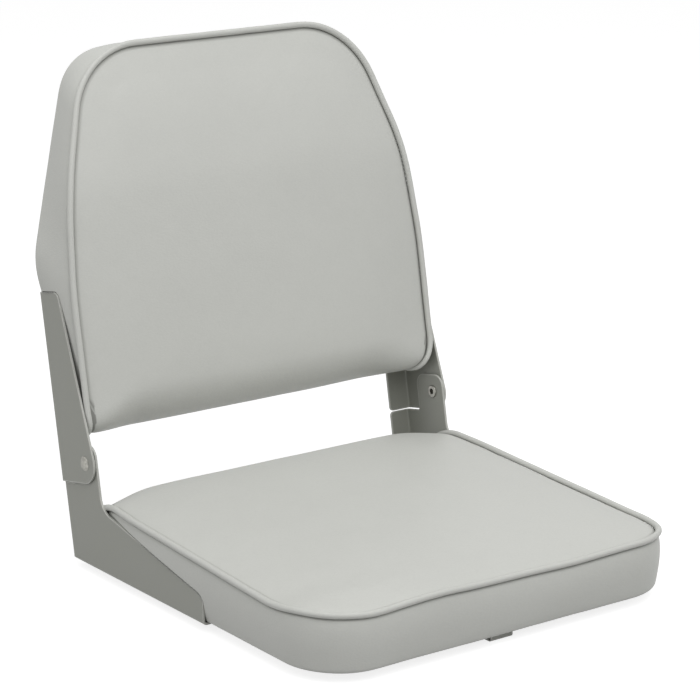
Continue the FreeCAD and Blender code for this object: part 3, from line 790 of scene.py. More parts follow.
def back_form():
    """Form of the back cushion with its outlines at the welt and at the board."""
    back = settings().back
    cover = settings().cover
    _, behind, _, top, half = back_box("back_side_band")
    depth = top - back_box("back_front_panel")[2]
    rearward, up = back_axes()
    corner = pivot_place() + rearward * behind + up * top
    matrix = Matrix((Vector((1, 0, 0)), -up, -rearward)).transposed().to_4x4()
    matrix.translation = corner

    def level(s):
        share = (back.taper_drop - s) / back.taper_drop
        return back.depth - back.lean_at_top * (share + np.sqrt(share ** 2 + back.lean_softness ** 2)) / 2

    form = CushionForm(matrix, depth, level, back.roll_radius, back.side_roll_radius, cover.edge_radius)

    def seam_side(tuck_inset):
        tuck_start = form.flat_end + back.tuck_start
        tuck_radius = 30 * MM
        tuck_end_radius = 14 * MM
        return [(0, 0, 0), (half - back.top_inset, 0, back.top_corner_radius),
                (half - back.taper_inset, back.taper_drop, back.taper_radius),
                (half, back.shoulder_drop, back.shoulder_radius), (half, tuck_start, tuck_radius),
                (half - tuck_inset, tuck_start + back.tuck_length, tuck_end_radius),
                (half, form.panel_end, 0)]

    form.seam_corners = seam_side(back.tuck_inset)
    form.left_seam_corners = seam_side(back.left_tuck_inset)
    form.board_corners = [(0, 0, 0), (half - back.top_inset, 0, back.board_corner_radius),
                          (half + back.wide_outset, back.wide_drop, back.wide_radius),
                          (half + back.squeeze_outset, back.squeeze_drop, back.wide_radius), (half, depth, 0)]
    form.band_bulge = back.band_bulge
    return form


def corner_share():
    """How far each column of a rim is into a corner, from 0 on a straight to 1 in the middle of an arc."""
    columns = np.arange(RIM_LAST + 1)
    share = np.zeros(RIM_LAST + 1)
    for middle in (RIM_CORNER, RIM_LAST - RIM_CORNER):
        share = np.maximum(share, 1 - np.abs(columns - middle) / (0.75 * CORNER_COLUMNS))
    return smooth_step(share)


def inset_board(form, board, inward, inset):
    """The board's outline moved in; the sides shorten so that they meet the rolled end at a mitre."""
    moved = board + inset * inward
    side = np.ones(RIM_LAST + 1, bool)
    side[SIDE_COLUMNS + 1:RIM_LAST - SIDE_COLUMNS] = False
    start = moved[SIDE_COLUMNS].imag
    shortened = moved.imag - inset * (moved.imag - start) / (form.depth - start)
    return np.where(side, moved.real + 1j * shortened, moved)


def panel_points(form, flat, distance, crown):
    """Panel points in the cushion's frame, from flat points and their distances to the rim."""
    cover = settings().cover
    roll_blend = 60 * MM
    foot_fade = 22 * MM
    uneven_reach = 45 * MM
    inner_share = smooth_step(distance / roll_blend)
    roll = form.side_roll + (form.roll - form.side_roll) * inner_share
    s, n, normal_s, normal_n = form.profile(flat.imag, roll)
    inside = distance - cover.seam_inset
    fade = (0.45 + 0.55 * normal_n) * smooth_step((n - form.edge) / foot_fade)
    lift = crown * (1 - np.exp(-inside / cover.crown_reach)) * fade
    lift = lift - cover.seam_inset * np.exp(-inside / cover.seam_reach)
    lift = lift + form.uneven(flat.real, flat.imag) * np.exp(-inside / uneven_reach)
    return np.stack([flat.real, s + lift * normal_s, n + lift * normal_n], axis=1)


RING_INSETS = [inset * MM for inset in (2.6, 3.7, 5.4, 8.0, 12.0, 17.0, 23.0, 30.0)]
BAND_SHARES = (0.032, 0.072, 0.13, 0.22, 0.34, 0.47, 0.60, 0.73, 0.85, 0.94, 1.0)


def cover_mesh(form, crown):
    """The whole cover, closed inside the board: panel, band, wrapped edge and hem.

    Gives points, faces, the distance of each point to the seam, and the numbers of the sewn points."""
    cover = settings().cover
    rim, rim_inward = whole_rim(form.seam_corners, form.left_seam_corners)
    board, board_inward = whole_rim(form.board_corners)
    flat, faces, open_end = panel_grid(rim, rim_inward, RING_INSETS)
    distance = rim_distance(flat, rim)
    ring_count = len(RING_INSETS) * len(rim)
    distance[:ring_count] = np.repeat(RING_INSETS, len(rim))
    points = panel_points(form, flat, distance, crown)
    groups = [points]
    # Distances that set the painted seam shade, shifted so that it reaches further onto the band than onto
    # the panel
    shade_shift = 0.8 * MM
    panel_shade_stretch = 0.62
    distances = [shade_shift + cover.seam_inset + (distance - cover.seam_inset) * panel_shade_stretch]
    total = len(points)

    # Band: straight columns from the seam to the board, with a dip under the welt
    seam = points[:len(rim)]
    foot = np.stack([board.real, board.imag, np.full(len(board), form.edge)], axis=1)
    outward = np.stack([-board_inward.real, -board_inward.imag, np.zeros(len(board))], axis=1)
    column = np.linalg.norm(foot - seam, axis=1)
    rows = [np.arange(len(rim))]
    for share in BAND_SHARES:
        height = share * column
        recovered = cover.seam_inset * (1 - share) * (1 - np.exp(-height / cover.seam_reach))
        fullness = form.band_bulge * math.sin(math.pi * share ** 0.8)
        places = seam + (foot - seam) * share + outward * (recovered + fullness)[:, None]
        row = total + np.arange(len(rim))
        row[0] = rows[0][0]
        row[-1] = rows[0][-1]
        groups.append(places)
        distances.append(height + cover.seam_inset - shade_shift)
        total += len(places)
        faces += strip(rows[-1], row)
        rows.append(row)

    # Wrapped edge and hem: the loop of the band's foot and the panel's open end, moved in step by step
    loop = np.array([*rows[-1], *open_end[1:-1][::-1]])
    end_share = points[open_end[1:-1][::-1]][:, 0] / abs(board[0].real)
    corner = corner_share()
    pleats = np.cos(np.arange(RIM_LAST + 1) * 2 * math.pi / 3.0) * 0.5 + 0.5
    turns = [math.radians(turn) for turn in (25, 50, 72, 90)]
    steps = []
    for turn in turns:
        steps.append([radius * (1 - part(turn)) for radius in (form.edge, cover.end_edge_radius)
                      for part in (math.cos, math.sin)])
    hem_insets = np.linspace(form.edge, cover.hem_width, 5)[1:]
    steps += [(inset, 0.0, inset, 0.0) for inset in hem_insets]
    for lift in (0.6 * cover.vinyl_thickness, 1.4 * cover.vinyl_thickness):
        steps.append((cover.hem_width, lift, cover.hem_width, lift))
    for inset, height, end_inset, end_height in steps:
        moved = inset_board(form, board, board_inward, inset)
        flatness = cover.pleat_depth * smooth_step((inset - form.edge) / (14 * MM)) * corner * pleats
        sides = np.stack([moved.real, moved.imag, height - flatness], axis=1)
        half = abs(board[0].real) - inset
        end = np.stack([end_share * half, np.full(len(end_share), form.depth - end_inset),
                        np.full(len(end_share), end_height)], axis=1)
        next_loop = total + np.arange(len(loop))
        groups.append(np.concatenate([sides, end]))
        distances.append(np.full(len(loop), 60 * MM))
        total += len(loop)
        faces += strip([*loop, loop[0]], [*next_loop, next_loop[0]])
        loop = next_loop
    first_edge = len(points) + len(BAND_SHARES) * len(rim)
    sewn = [*range(len(rim)), *range(first_edge - len(rim), total)]
    return np.concatenate(groups), faces, np.concatenate(distances), sewn


def without_loose(points, faces, distances, sewn):
    """Leaves out points that no face uses."""
    used = sorted({index for face in faces for index in face})
    new_number = {old: new for new, old in enumerate(used)}
    faces = [[new_number[index] for index in face] for face in faces]
    sewn = [new_number[index] for index in sewn if index in new_number]
    return points[used], faces, distances[used], sewn


def swollen(piece, sewn, limit):
    """Where air pressure takes the cover between its sewn lines, in steps that ease off towards a limit."""
    start = vertex_places(piece.data)
    group = piece.vertex_groups.new(name="sewn")
    group.add(sewn, 1.0, "REPLACE")
    cloth = piece.modifiers.new("swelling", "CLOTH")
    cloth.settings.quality = 6
    cloth.settings.mass = 0.02
    cloth.settings.tension_stiffness = 20
    cloth.settings.compression_stiffness = 20
    cloth.settings.shear_stiffness = 10
    cloth.settings.bending_stiffness = 0.5
    cloth.settings.use_pressure = True
    cloth.settings.uniform_pressure_force = 4
    cloth.settings.vertex_group_mass = "sewn"
    cloth.settings.effector_weights.gravity = 0
    cloth.collision_settings.use_collision = False
    last_frame = 20
    cloth.point_cache.frame_end = last_frame
    scene = bpy.context.scene
    for step in range(1, last_frame + 1):
        scene.frame_set(step)
    shaped = piece.evaluated_get(bpy.context.evaluated_depsgraph_get())
    move = vertex_places(shaped.data) - start
    piece.modifiers.remove(cloth)
    piece.vertex_groups.remove(group)
    scene.frame_set(1)
    reach = np.linalg.norm(move, axis=1, keepdims=True)
    return move * limit * np.tanh(reach / limit) / np.maximum(reach, 1e-9)


def eased(piece, move, rounds):
    """A move averaged with the neighbours' moves, a few times over."""
    edges = np.empty(2 * len(piece.data.edges), int)
    piece.data.edges.foreach_get("vertices", edges)
    edges = edges.reshape(-1, 2)
    degree = np.bincount(edges.ravel(), minlength=len(move)).reshape(-1, 1)
    for _ in range(rounds):
        total = np.zeros_like(move)
        np.add.at(total, edges[:, 0], move[edges[:, 1]])
        np.add.at(total, edges[:, 1], move[edges[:, 0]])
        move = 0.5 * move + 0.5 * total / degree
    return move


class BracketPlate:
    """The upright plate of one bracket, beside a cushion."""

    thickness = 2 * MM
    reach = 14 * MM

    def __init__(self, name):
        self.node = frame["nodes"][name]
        self.tree = BVHTree.FromObject(self.node, bpy.context.evaluated_depsgraph_get())
        low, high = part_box(name)
        self.side = math.copysign(1.0, low.x + high.x)
        self.outer = max(abs(low.x), abs(high.x))

    def beside(self, places):
        """Numbers of the places that are on the plate's side of the part and about as far out as it is."""
        return np.nonzero(places[:, 0] * self.side > self.outer - self.reach)[0]

    def to_edge(self, place):
        """Direction and distance to the plate's outline in its own plane; no length within the outline."""
        middle = Vector((self.side * (self.outer - self.thickness / 2), place[1], place[2]))
        nearest = self.tree.find_nearest(middle)[0]
        return Vector((0, nearest.y - middle.y, nearest.z - middle.z))

    def straight_edges(self):
        """Start, direction, length and outward direction of each straight edge of the plate's outer face."""
        shortest = 12 * MM
        vertices = self.node.data.vertices
        for edge in self.node.data.edges:
            start, end = [vertices[index].co for index in edge.vertices]
            flat = min(abs(start.x), abs(end.x)) > self.outer - 0.05 * MM
            if not flat or (end - start).length < shortest:
                continue
            run = (end - start).normalized()
            across = Vector((0, -run.z, run.y))
            for outward in (across, -across):
                if self.to_edge((start + end) / 2 + outward * self.thickness).length > 0.5 * self.thickness:
                    yield start, run, (end - start).length, outward

    def deep(self, place, distance):
        """Whether a place lies within the outline by more than a distance."""
        for step in range(8):
            turn = step * math.pi / 4
            beside = (place[0], place[1] + distance * math.cos(turn), place[2] + distance * math.sin(turn))
            if self.to_edge(beside).length > 0.01 * MM:
                return False
        return True

    def inner_face(self, place, away):
        """How far out the plate's inner face is, beside a place or at the nearest part of the outline."""
        inside = Vector((0, place[1], place[2])) + away
        if away.length > 0.01 * MM:
            inside = inside + away.normalized() * self.thickness
        start = Vector((self.side * (self.outer - 25 * MM), inside.y, inside.z))
        hit = self.tree.ray_cast(start, Vector((self.side, 0, 0)), 40 * MM)[0]
        return None if hit is None else abs(hit.x)


def finer_at_edges(mesh, plates):
    """Splits the cover's faces along the outlines of the bracket plates, so that it can bend there."""
    near = 5 * MM
    places = vertex_places(mesh)
    chosen = set()
    for plate in plates:
        for index in plate.beside(places):
            if plate.to_edge(places[index]).length < near and not plate.deep(places[index], near):
                chosen.add(int(index))
    with edited(mesh) as work:
        edges = [edge for edge in work.edges if all(vertex.index in chosen for vertex in edge.verts)]
        bmesh.ops.subdivide_edges(work, edges=edges, cuts=3, use_grid_fill=True)


def cut_along(work, plate, line, run, reach, outward):
    """Cuts the cover's faces beside a plate along one straight line."""
    near = 6 * MM
    chosen = set()
    for face in work.faces:
        middle = face.calc_center_median()
        if middle.x * plate.side < plate.outer - plate.reach:
            continue
        away = middle - line
        if abs(away.dot(outward)) < near and -near < away.dot(run) < reach + near:
            chosen.update((face, *face.edges, *face.verts))
    same_place = 0.001 * MM
    bmesh.ops.bisect_plane(work, geom=list(chosen), dist=same_place, plane_co=line, plane_no=outward)


def cut_along_edges(mesh, plates):
    """Cuts the cover along lines beside the straight edges of the bracket plates, so that it folds there."""
    with edited(mesh) as work:
        for plate in plates:
            for start, run, reach, outward in plate.straight_edges():
                for offset in (0.15 * MM, 0.5 * MM, 0.9 * MM, 1.4 * MM):
                    cut_along(work, plate, start + outward * offset, run, reach, outward)


def pressed_clear(places, plates):
    """Keeps a cover inside the bracket plates, and lets it bulge round their edges.

    Gives the new places and each one's distance to the nearest plate within reach."""
    gap = 0.25 * MM
    edge_width = 0.2 * MM
    steepness = 5.0
    softness = 0.5 * MM
    result = places.copy()
    to_plate = np.full(len(places), 1.0)
    for plate in plates:
        for index in plate.beside(places):
            away = plate.to_edge(places[index])
            if away.length > plate.reach:
                continue
            to_plate[index] = away.length
            inner = plate.inner_face(places[index], away)
            if inner is not None:
                allowed = inner - gap + steepness * max(0.0, away.length - edge_width)
                natural = abs(result[index, 0])
                pressed = (allowed + natural - math.hypot(allowed - natural, softness)) / 2
                result[index, 0] = plate.side * pressed
    return result, to_plate


def ripple(places, normals, distances):
    """Slight unevenness of stretched vinyl, and small gathers that die out away from the seams."""
    cover = settings().cover
    result = places.copy()
    for index, (spot, normal) in enumerate(zip(places, normals)):
        near = math.exp(-distances[index] / (9 * MM))
        steady = 1 - math.exp(-max(0.0, distances[index] - 2 * MM) / (3 * MM))
        broad = noise.noise(Vector(spot) * 14) + 0.4 * noise.noise(Vector(spot) * 38)
        small = noise.noise(Vector(spot) * 95)
        result[index] += normal * steady * (cover.ripple * broad + cover.gather * near * small)
    return result


def build_cushion(name, form, crown, swell, body, brackets, nodes):
    """Sewn cover over its filling: shaped, swollen, pressed between the brackets and smoothed."""
    local, faces, distances, sewn = without_loose(*cover_mesh(form, crown))
    piece = new_piece(name, form.placed(local), faces, body, "vinyl", "cushion_vinyl")
    start = vertex_places(piece.data)
    move = eased(piece, swollen(piece, sewn, swell), 30)
    move[sewn] = 0
    set_vertex_places(piece.data, start + move)
    attribute = piece.data.attributes.new("seam_distance", "FLOAT", "POINT")
    attribute.data.foreach_set("value", distances)
    smooth_once(piece)
    mesh = piece.data
    set_vertex_places(mesh, ripple(vertex_places(mesh), vertex_normals(mesh), seam_distances(mesh)))
    plates = [BracketPlate(bracket) for bracket in brackets]
    finer_at_edges(mesh, plates)
    cut_along_edges(mesh, plates)
    places, to_plate = pressed_clear(vertex_places(mesh), plates)
    set_vertex_places(mesh, places)
    # Painted shade in the crease where the cover meets a bracket plate, written into the seam distances
    crease_width = 1.5 * MM
    shaded = np.minimum(seam_distances(mesh), DARK_WITHIN + SHADE_FADE * to_plate / crease_width)
    mesh.attributes["seam_distance"].data.foreach_set("value", shaded)
    close_opening(piece)
    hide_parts(*nodes)
    return piece


# Welts and stitches follow the seam

def seam_line(form):
    """Points on the sharp edge between panel and band, with outward and panel-side directions, in place."""
    rim, inward = whole_rim(form.seam_corners, form.left_seam_corners)
    s, n, normal_s, normal_n = form.profile(rim.imag, np.full(len(rim), form.side_roll))
    lift = form.uneven(rim.real, rim.imag)
    local = np.stack([rim.real, s + lift * normal_s, n + lift * normal_n], axis=1)
    outward = np.stack([-inward.real, -inward.imag * np.abs(normal_n), np.zeros(len(rim))], axis=1)
    upward = np.stack([np.zeros(len(rim)), normal_s, normal_n], axis=1)
    turn = np.array(form.matrix.to_3x3())
    return form.placed(local), outward @ turn.T, upward @ turn.T


def finer(values, parts):
    """Rows of numbers with more rows between them, on straight lines from one to the next."""
    count = len(values)
    fine = np.linspace(0, count - 1, (count - 1) * parts + 1)
    return np.stack([np.interp(fine, np.arange(count), values[:, axis]) for axis in range(3)], axis=1)


def tube_mesh(path, outward, upward, radii, sides=14):
    """Closed round tube along a path."""
    points = []
    for centre, out, top, radius in zip(path, outward, upward, radii):
        for step in range(sides):
            turn = 2 * math.pi * step / sides
            points.append(centre + radius * (math.cos(turn) * out + math.sin(turn) * top))
    faces = []
    for ring in range(len(path) - 1):
        row = [ring * sides + step for step in range(sides)]
        next_row = [index + sides for index in row]
        faces += strip([*row, row[0]], [*next_row, next_row[0]])
    last = (len(path) - 1) * sides
    faces.append(list(range(sides)))
    faces.append([last + step for step in range(sides)])
    return points, faces


def build_welt(name, form, body, node):
    """Covered cord along the seam, a little uneven as sewn, tucked in at both ends."""
    cover = settings().cover
    edge, outward, upward = seam_line(form)
    path = edge + cover.welt_outset * outward - cover.welt_drop * upward
    path = finer(path, 2)
    outward = finer(outward, 2)
    upward = finer(upward, 2)
    radii = []
    for index, spot in enumerate(path):
        wander = noise.noise(Vector(spot) * 30)
        path[index] = spot + outward[index] * wander * 0.25 * MM
        uneven = 1 + 0.035 * noise.noise(Vector(spot) * 60 + Vector((7, 0, 0)))
        from_end = min(index, len(path) - 1 - index)
        radii.append(cover.welt_diameter / 2 * uneven * min(1.0, 0.55 + 0.15 * from_end))
    piece = new_piece(name, *tube_mesh(path, outward, upward, radii), body, "vinyl", "plain_vinyl")
    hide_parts(node)
    return piece


def capsule(start, end, radius, sides=6):
    """Short rounded rod."""
    axis = (end - start).normalized()
    across = axis.orthogonal().normalized()
    other = axis.cross(across)
    shares = ((0.0, 0.35), (0.12, 0.85), (0.5, 1.0), (0.88, 0.85), (1.0, 0.35))
    path = [start.lerp(end, share) for share, _ in shares]
    count = len(path)
    return tube_mesh(np.array(path), np.array([across] * count), np.array([other] * count),
                     [radius * size for _, size in shares], sides)


def build_stitches(name, form, body):
    """Lockstitches lying in the groove between welt and band."""
    cover = settings().cover
    edge, outward, upward = seam_line(form)
    below = cover.welt_drop + cover.welt_diameter / 2 + 0.4 * MM
    path = edge - outward * 0.9 * MM - upward * below
    lengths = np.concatenate([[0.0], np.cumsum(np.linalg.norm(np.diff(path, axis=0), axis=1))])

    def at(place):
        return Vector([np.interp(place, lengths, path[:, axis]) for axis in range(3)])

    copies = []
    margin = 12 * MM
    count = int((lengths[-1] - 2 * margin) / cover.stitch_pitch)
    for index in range(count):
        start = margin + index * cover.stitch_pitch
        copies.append(capsule(at(start), at(start + cover.stitch_length), cover.thread_diameter / 2))
    return gathered(name, copies, body, "nylon", "thread")


# Rear panel and staples

def build_rear_panel(form):
    """Vinyl panel that closes the rear of the back, its edge turned in, slightly full in the middle."""
    cover = settings().cover
    corners = [list(corner) for corner in form.board_corners]
    corners[-1][1] = form.depth - 2 * cover.rear_panel_margin
    rim, inward = whole_rim(corners)
    insets = [inset * MM for inset in (0.9, 2.5, 4.5, 7.5, 12.0, 18.0, 26.0, 36.0)]
    margin = cover.rear_panel_margin
    flat, faces, open_end = panel_grid(rim + margin * inward, inward, insets)
    loop_numbers = [*range(len(rim)), *open_end[1:-1][::-1]]
    loop = flat[loop_numbers]
    distance = np.minimum(rim_distance(flat, loop), abs(corners[-1][1] - flat.imag))
    flange_edge = min(abs(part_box("right_upper_bracket")[0].x), abs(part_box("right_upper_bracket")[1].x))
    free = smooth_step((flange_edge - 4 * MM - np.abs(flat.real)) / (40 * MM))
    above = smooth_step((form.depth - 190 * MM - flat.imag) / (40 * MM))
    fullness = np.maximum(free, above) * smooth_step(distance / (70 * MM))
    turned = 0.35 * MM * np.exp(-((distance - 7 * MM) / (2.5 * MM)) ** 2)
    depth = -cover.vinyl_thickness + turned - cover.rear_panel_swell * fullness
    groups = [np.stack([flat.real, flat.imag, depth], axis=1)]
    total = len(flat)
    middle = complex(0, form.depth / 2)
    previous = loop_numbers
    for outset, height in ((0.55 * MM, -0.92), (0.9 * MM, -0.55), (0.9 * MM, -0.02)):
        away = loop - middle
        moved = loop + outset * away / np.abs(away)
        level = np.full(len(loop), height * cover.vinyl_thickness)
        groups.append(np.stack([moved.real, moved.imag, level], axis=1))
        row = list(range(total, total + len(loop)))
        faces += strip([*previous, previous[0]], [*row, row[0]])
        previous = row
        total += len(loop)
    points = form.placed(np.concatenate(groups))
    piece = new_piece("back_rear_cover", points, faces, "back", "vinyl", "plain_vinyl")
    smooth_once(piece)
    close_opening(piece)
    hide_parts("back_rear_panel")
    return piece


def staple(matrix):
    """Flat wire staple driven home: a crown with rounded shoulders and two short legs."""
    cover = settings().cover
    half = cover.staple_width / 2
    wide = cover.staple_wire / 2
    thick = 0.5 * MM
    sunk = -1.2 * MM
    outer = [(-half, sunk), (-half, 0.55 * thick), (-half + 0.5 * thick, thick), (half - 0.5 * thick, thick),
             (half, 0.55 * thick), (half, sunk)]
    inner = [(-half + thick, sunk), (-half + thick, 0.0), (-half + 1.2 * thick, 0.05 * thick),
             (half - 1.2 * thick, 0.05 * thick), (half - thick, 0.0), (half - thick, sunk)]
    points = []
    for x, z in outer + inner:
        points += [matrix @ Vector((x, -wide, z)), matrix @ Vector((x, wide, z))]
    faces = []
    count = len(outer)
    for index in range(count - 1):
        a, b = 2 * index, 2 * index + 2
        c, d = 2 * (count + index), 2 * (count + index) + 2
        faces += [(a, b, b + 1, a + 1), (c, c + 1, d + 1, d), (a, c, d, b), (a + 1, b + 1, d + 1, c + 1)]
    first, last = 2 * count, 4 * count - 2
    faces += [(0, 1, first + 1, first), (2 * count - 2, last, last + 1, 2 * count - 1)]
    return [tuple(point) for point in points], faces


def staple_row(form, inset, height, blocked):
    """Staples along the board's outline, moved in, left out where something is fastened over it."""
    cover = settings().cover
    board, inward = whole_rim(form.board_corners)
    line = inset_board(form, board, inward, inset)
    loop = np.concatenate([line, [line[0]]])
    lengths = run_lengths(loop)
    count = int(lengths[-1] / cover.staple_pitch)
    copies = []
    for index in range(count):
        along = (index + 0.5) * lengths[-1] / count
        spot, ahead = along_line(loop, np.array([along, along + MM]))
        run = unit(ahead - spot) * cmath.exp(1j * 0.12 * noise.noise(Vector((index * 0.7, inset * 90, 3))))
        local = Vector((spot.real, spot.imag, height))
        if blocked(form.matrix @ local):
            continue
        turn = Matrix(((run.real, -run.imag, 0), (run.imag, run.real, 0), (0, 0, -1))).to_4x4()
        copies.append(staple(form.matrix @ Matrix.Translation(local) @ turn))
    return copies


def inside_boxes(spot, boxes, margin):
    for low, high in boxes:
        if all(low[axis] - margin < spot[axis] < high[axis] + margin for axis in range(2)):
            return True
    return False


# Screws with a cross recess

def screw_head(radius, height, rings=7, sides=28):
    """Low dome on a short wall, about the origin, with its crown towards +Z."""
    ball = (radius ** 2 + height ** 2) / (2 * height)
    edge_turn = math.asin(radius / ball)
    points = [Vector((0, 0, height))]
    for ring in range(1, rings + 1):
        turn = edge_turn * ring / rings
        level = height - ball * (1 - math.cos(turn))
        for step in range(sides):
            around = 2 * math.pi * step / sides
            points.append(Vector((ball * math.sin(turn) * math.cos(around),
                                  ball * math.sin(turn) * math.sin(around), max(level, 0.18 * MM))))
    for step in range(sides):
        around = 2 * math.pi * step / sides
        points.append(Vector((radius * math.cos(around), radius * math.sin(around), 0)))
    faces = [(0, 1 + step, 1 + (step + 1) % sides) for step in range(sides)]
    for ring in range(rings):
        row = [1 + ring * sides + step for step in range(sides)]
        next_row = [index + sides for index in row]
        faces += strip([*row, row[0]], [*next_row, next_row[0]])
    faces.append([1 + rings * sides + step for step in range(sides)])
    return points, faces


def cross_recess(reach, width, top, bottom):
    """Solid of a cross recess that narrows towards its bottom."""
    arm = (complex(reach, -width), complex(reach, width), complex(width, width))
    outline = [point * 1j ** quarter for quarter in range(4) for point in arm]
    count = len(outline)
    narrowing = 0.62
    points = [Vector((point.real, point.imag, top)) for point in outline]
    points += [Vector((point.real * narrowing, point.imag * narrowing, bottom)) for point in outline]
    faces = [list(range(count)), list(range(count, 2 * count))]
    for index in range(count):
        after = (index + 1) % count
        faces.append((index, after, count + after, count + index))
    return points, faces


def recessed_head(radius, height):
    """Points and faces of a screw head with a cross recess."""
    head = linked_object("head", *screw_head(radius, height))
    tool = linked_object("recess", *cross_recess(0.52 * radius, 0.12 * radius, 2 * height, 0.35 * height))
    cut = head.modifiers.new("recess", "BOOLEAN")
    cut.operation = "DIFFERENCE"
    cut.object = tool
    cut.solver = "EXACT"
    keep_shape(head)
    points = [vertex.co.copy() for vertex in head.data.vertices]
    faces = [list(polygon.vertices) for polygon in head.data.polygons]
    for made in (head, tool):
        bpy.data.objects.remove(made)
    return points, faces


def islands(mesh):
    """Places of the points of each separate solid of a mesh."""
    parent = list(range(len(mesh.vertices)))

    def root(index):
        while parent[index] != index:
            parent[index] = parent[parent[index]]
            index = parent[index]
        return index

    for edge in mesh.edges:
        parent[root(edge.vertices[0])] = root(edge.vertices[1])
    keys = np.round(vertex_places(mesh) / (0.002 * MM)).astype(int)
    seen = {}
    for index, key in enumerate(map(tuple, keys)):
        parent[root(index)] = root(seen.setdefault(key, index))
    groups = {}
    for index in range(len(mesh.vertices)):
        groups.setdefault(root(index), []).append(index)
    places = vertex_places(mesh)
    return [places[members] for members in groups.values()]


def build_screws(node, outward, body):
    """Every screw of a node as a head with a cross recess on a plain shank."""
    copies = []
    axis = Vector(outward).normalized()
    for index, solid in enumerate(islands(frame["nodes"][node].data)):
        along = solid @ np.array(axis)
        around = solid - np.outer(along, np.array(axis))
        middle = (around.min(axis=0) + around.max(axis=0)) / 2
        radius = np.linalg.norm(around - middle, axis=1)
        head_radius = radius.max()
        seat = along[radius > 0.98 * head_radius].min()
        height = along.max() - seat
        shank = radius[along < seat - 1.0 * MM].max()
        turn = axis.to_track_quat("Z", "Y").to_matrix().to_4x4()
        spin = Matrix.Rotation(0.9 * index + 0.3, 4, "Z")
        matrix = Matrix.Translation(Vector(middle) + axis * seat) @ turn @ spin
        points, faces = recessed_head(head_radius, height)
        copies.append(([matrix @ point for point in points], faces))
        tip = Vector(middle) + axis * along.min()
        side = axis.orthogonal().normalized()
        other = axis.cross(side)
        path = np.array([Vector(middle) + axis * (seat + 0.1 * MM), tip + axis * 0.4 * MM, tip])
        copies.append(tube_mesh(path, np.array([side] * 3), np.array([other] * 3),
                                [shank, shank, 0.8 * shank], 18))
    piece = gathered(node + "_recessed", copies, body, "zinc_steel", "zinc_plate")
    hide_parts(node)
    return piece


# Operators, one for each piece or group of like pieces

class BOATSEAT_OT_seat_cushion(bpy.types.Operator):
    """Build the seat cushion's sewn cover"""

    bl_idname = "boatseat.seat_cushion"
    bl_label = "Seat cushion"

    def execute(self, context):
        seat = settings().seat
        build_cushion("seat_cushion", seat_form(), seat.crown, seat.swell, "seat",
                      ("right_lower_bracket", "left_lower_bracket"),
                      ("seat_top_panel", "seat_side_band", "seat_foam"))
        return {"FINISHED"}


class BOATSEAT_OT_back_cushion(bpy.types.Operator):
    """Build the back cushion's sewn cover"""

    bl_idname = "boatseat.back_cushion"
    bl_label = "Back cushion"

    def execute(self, context):
        back = settings().back
        build_cushion("back_cushion", back_form(), back.crown, back.swell, "back",
                      ("right_upper_bracket", "left_upper_bracket"),
                      ("back_front_panel", "back_side_band", "back_foam"))
        return {"FINISHED"}


class BOATSEAT_OT_welts(bpy.types.Operator):
    """Build the covered cords in the seams of both cushions"""

    bl_idname = "boatseat.welts"
    bl_label = "Welts"

    def execute(self, context):
        build_welt("seat_welt_cord", seat_form(), "seat", "seat_welt")
        build_welt("back_welt_cord", back_form(), "back", "back_welt")
        return {"FINISHED"}


class BOATSEAT_OT_stitches(bpy.types.Operator):
    """Build the stitches along the welts"""

    bl_idname = "boatseat.stitches"
    bl_label = "Stitches"

    def execute(self, context):
        build_stitches("seat_stitches", seat_form(), "seat")
        build_stitches("back_stitches", back_form(), "back")
        return {"FINISHED"}


class BOATSEAT_OT_rear_panel(bpy.types.Operator):
    """Build the vinyl panel on the rear of the back"""

    bl_idname = "boatseat.rear_panel"
    bl_label = "Rear panel"

    def execute(self, context):
        build_rear_panel(back_form())
        return {"FINISHED"}


class BOATSEAT_OT_staples(bpy.types.Operator):
    """Build the staples that hold the hems and the rear panel"""

    bl_idname = "boatseat.staples"
    bl_label = "Staples"

    def execute(self, context):
        cover = settings().cover
        covered = [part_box(node) for node in ("right_lower_bracket", "left_lower_bracket", "strap_keeper")]
        margin = cover.staple_width / 2
        under = staple_row(seat_form(), cover.staple_inset, 0.0,
                           lambda spot: inside_boxes(spot, covered, margin))
        gathered("seat_staples", under, "seat", "zinc_steel", "zinc_plate")
        top = max(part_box(node)[1].z for node in ("right_upper_bracket", "left_upper_bracket"))
        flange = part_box("right_upper_bracket")[0].x
        behind = staple_row(back_form(), cover.rear_panel_margin + 3.2 * MM, -cover.vinyl_thickness,
                            lambda spot: spot.z < top + margin and abs(spot.x) > flange - margin)
        gathered("back_staples", behind, "back", "zinc_steel", "zinc_plate")
        return {"FINISHED"}


class BOATSEAT_OT_screws(bpy.types.Operator):
    """Build the screws with their cross recesses"""

    bl_idname = "boatseat.screws"
    bl_label = "Screws"

    def execute(self, context):
        rearward, _ = back_axes()
        build_screws("seat_bracket_screws", (0, 0, -1), "seat")
        build_screws("keeper_screws", (0, 0, -1), "seat")
        build_screws("back_bracket_screws", rearward, "back")
        return {"FINISHED"}


class BOATSEAT_OT_finishes(bpy.types.Operator):
    """Give the pieces carried over from the frame their finishes"""

    bl_idname = "boatseat.finishes"
    bl_label = "Finishes"

    def execute(self, context):
        finishes = {
            "plywood": ("seat_board", "back_board"),
            "bracket_paint": ("right_lower_bracket", "left_lower_bracket", "right_upper_bracket",
                              "left_upper_bracket", "strap_keeper"),
            "zinc_plate": ("right_pivot_rivet", "left_pivot_rivet", "mounting_tee_nuts", "seat_tee_nuts",
                           "back_tee_nuts"),
            "nylon": ("right_pivot_washer", "left_pivot_washer"),
        }
        for finish, nodes in finishes.items():
            for node in nodes:
                for slot in frame["nodes"][node].material_slots:
                    slot.material = finish_named(finish)
        return {"FINISHED"}


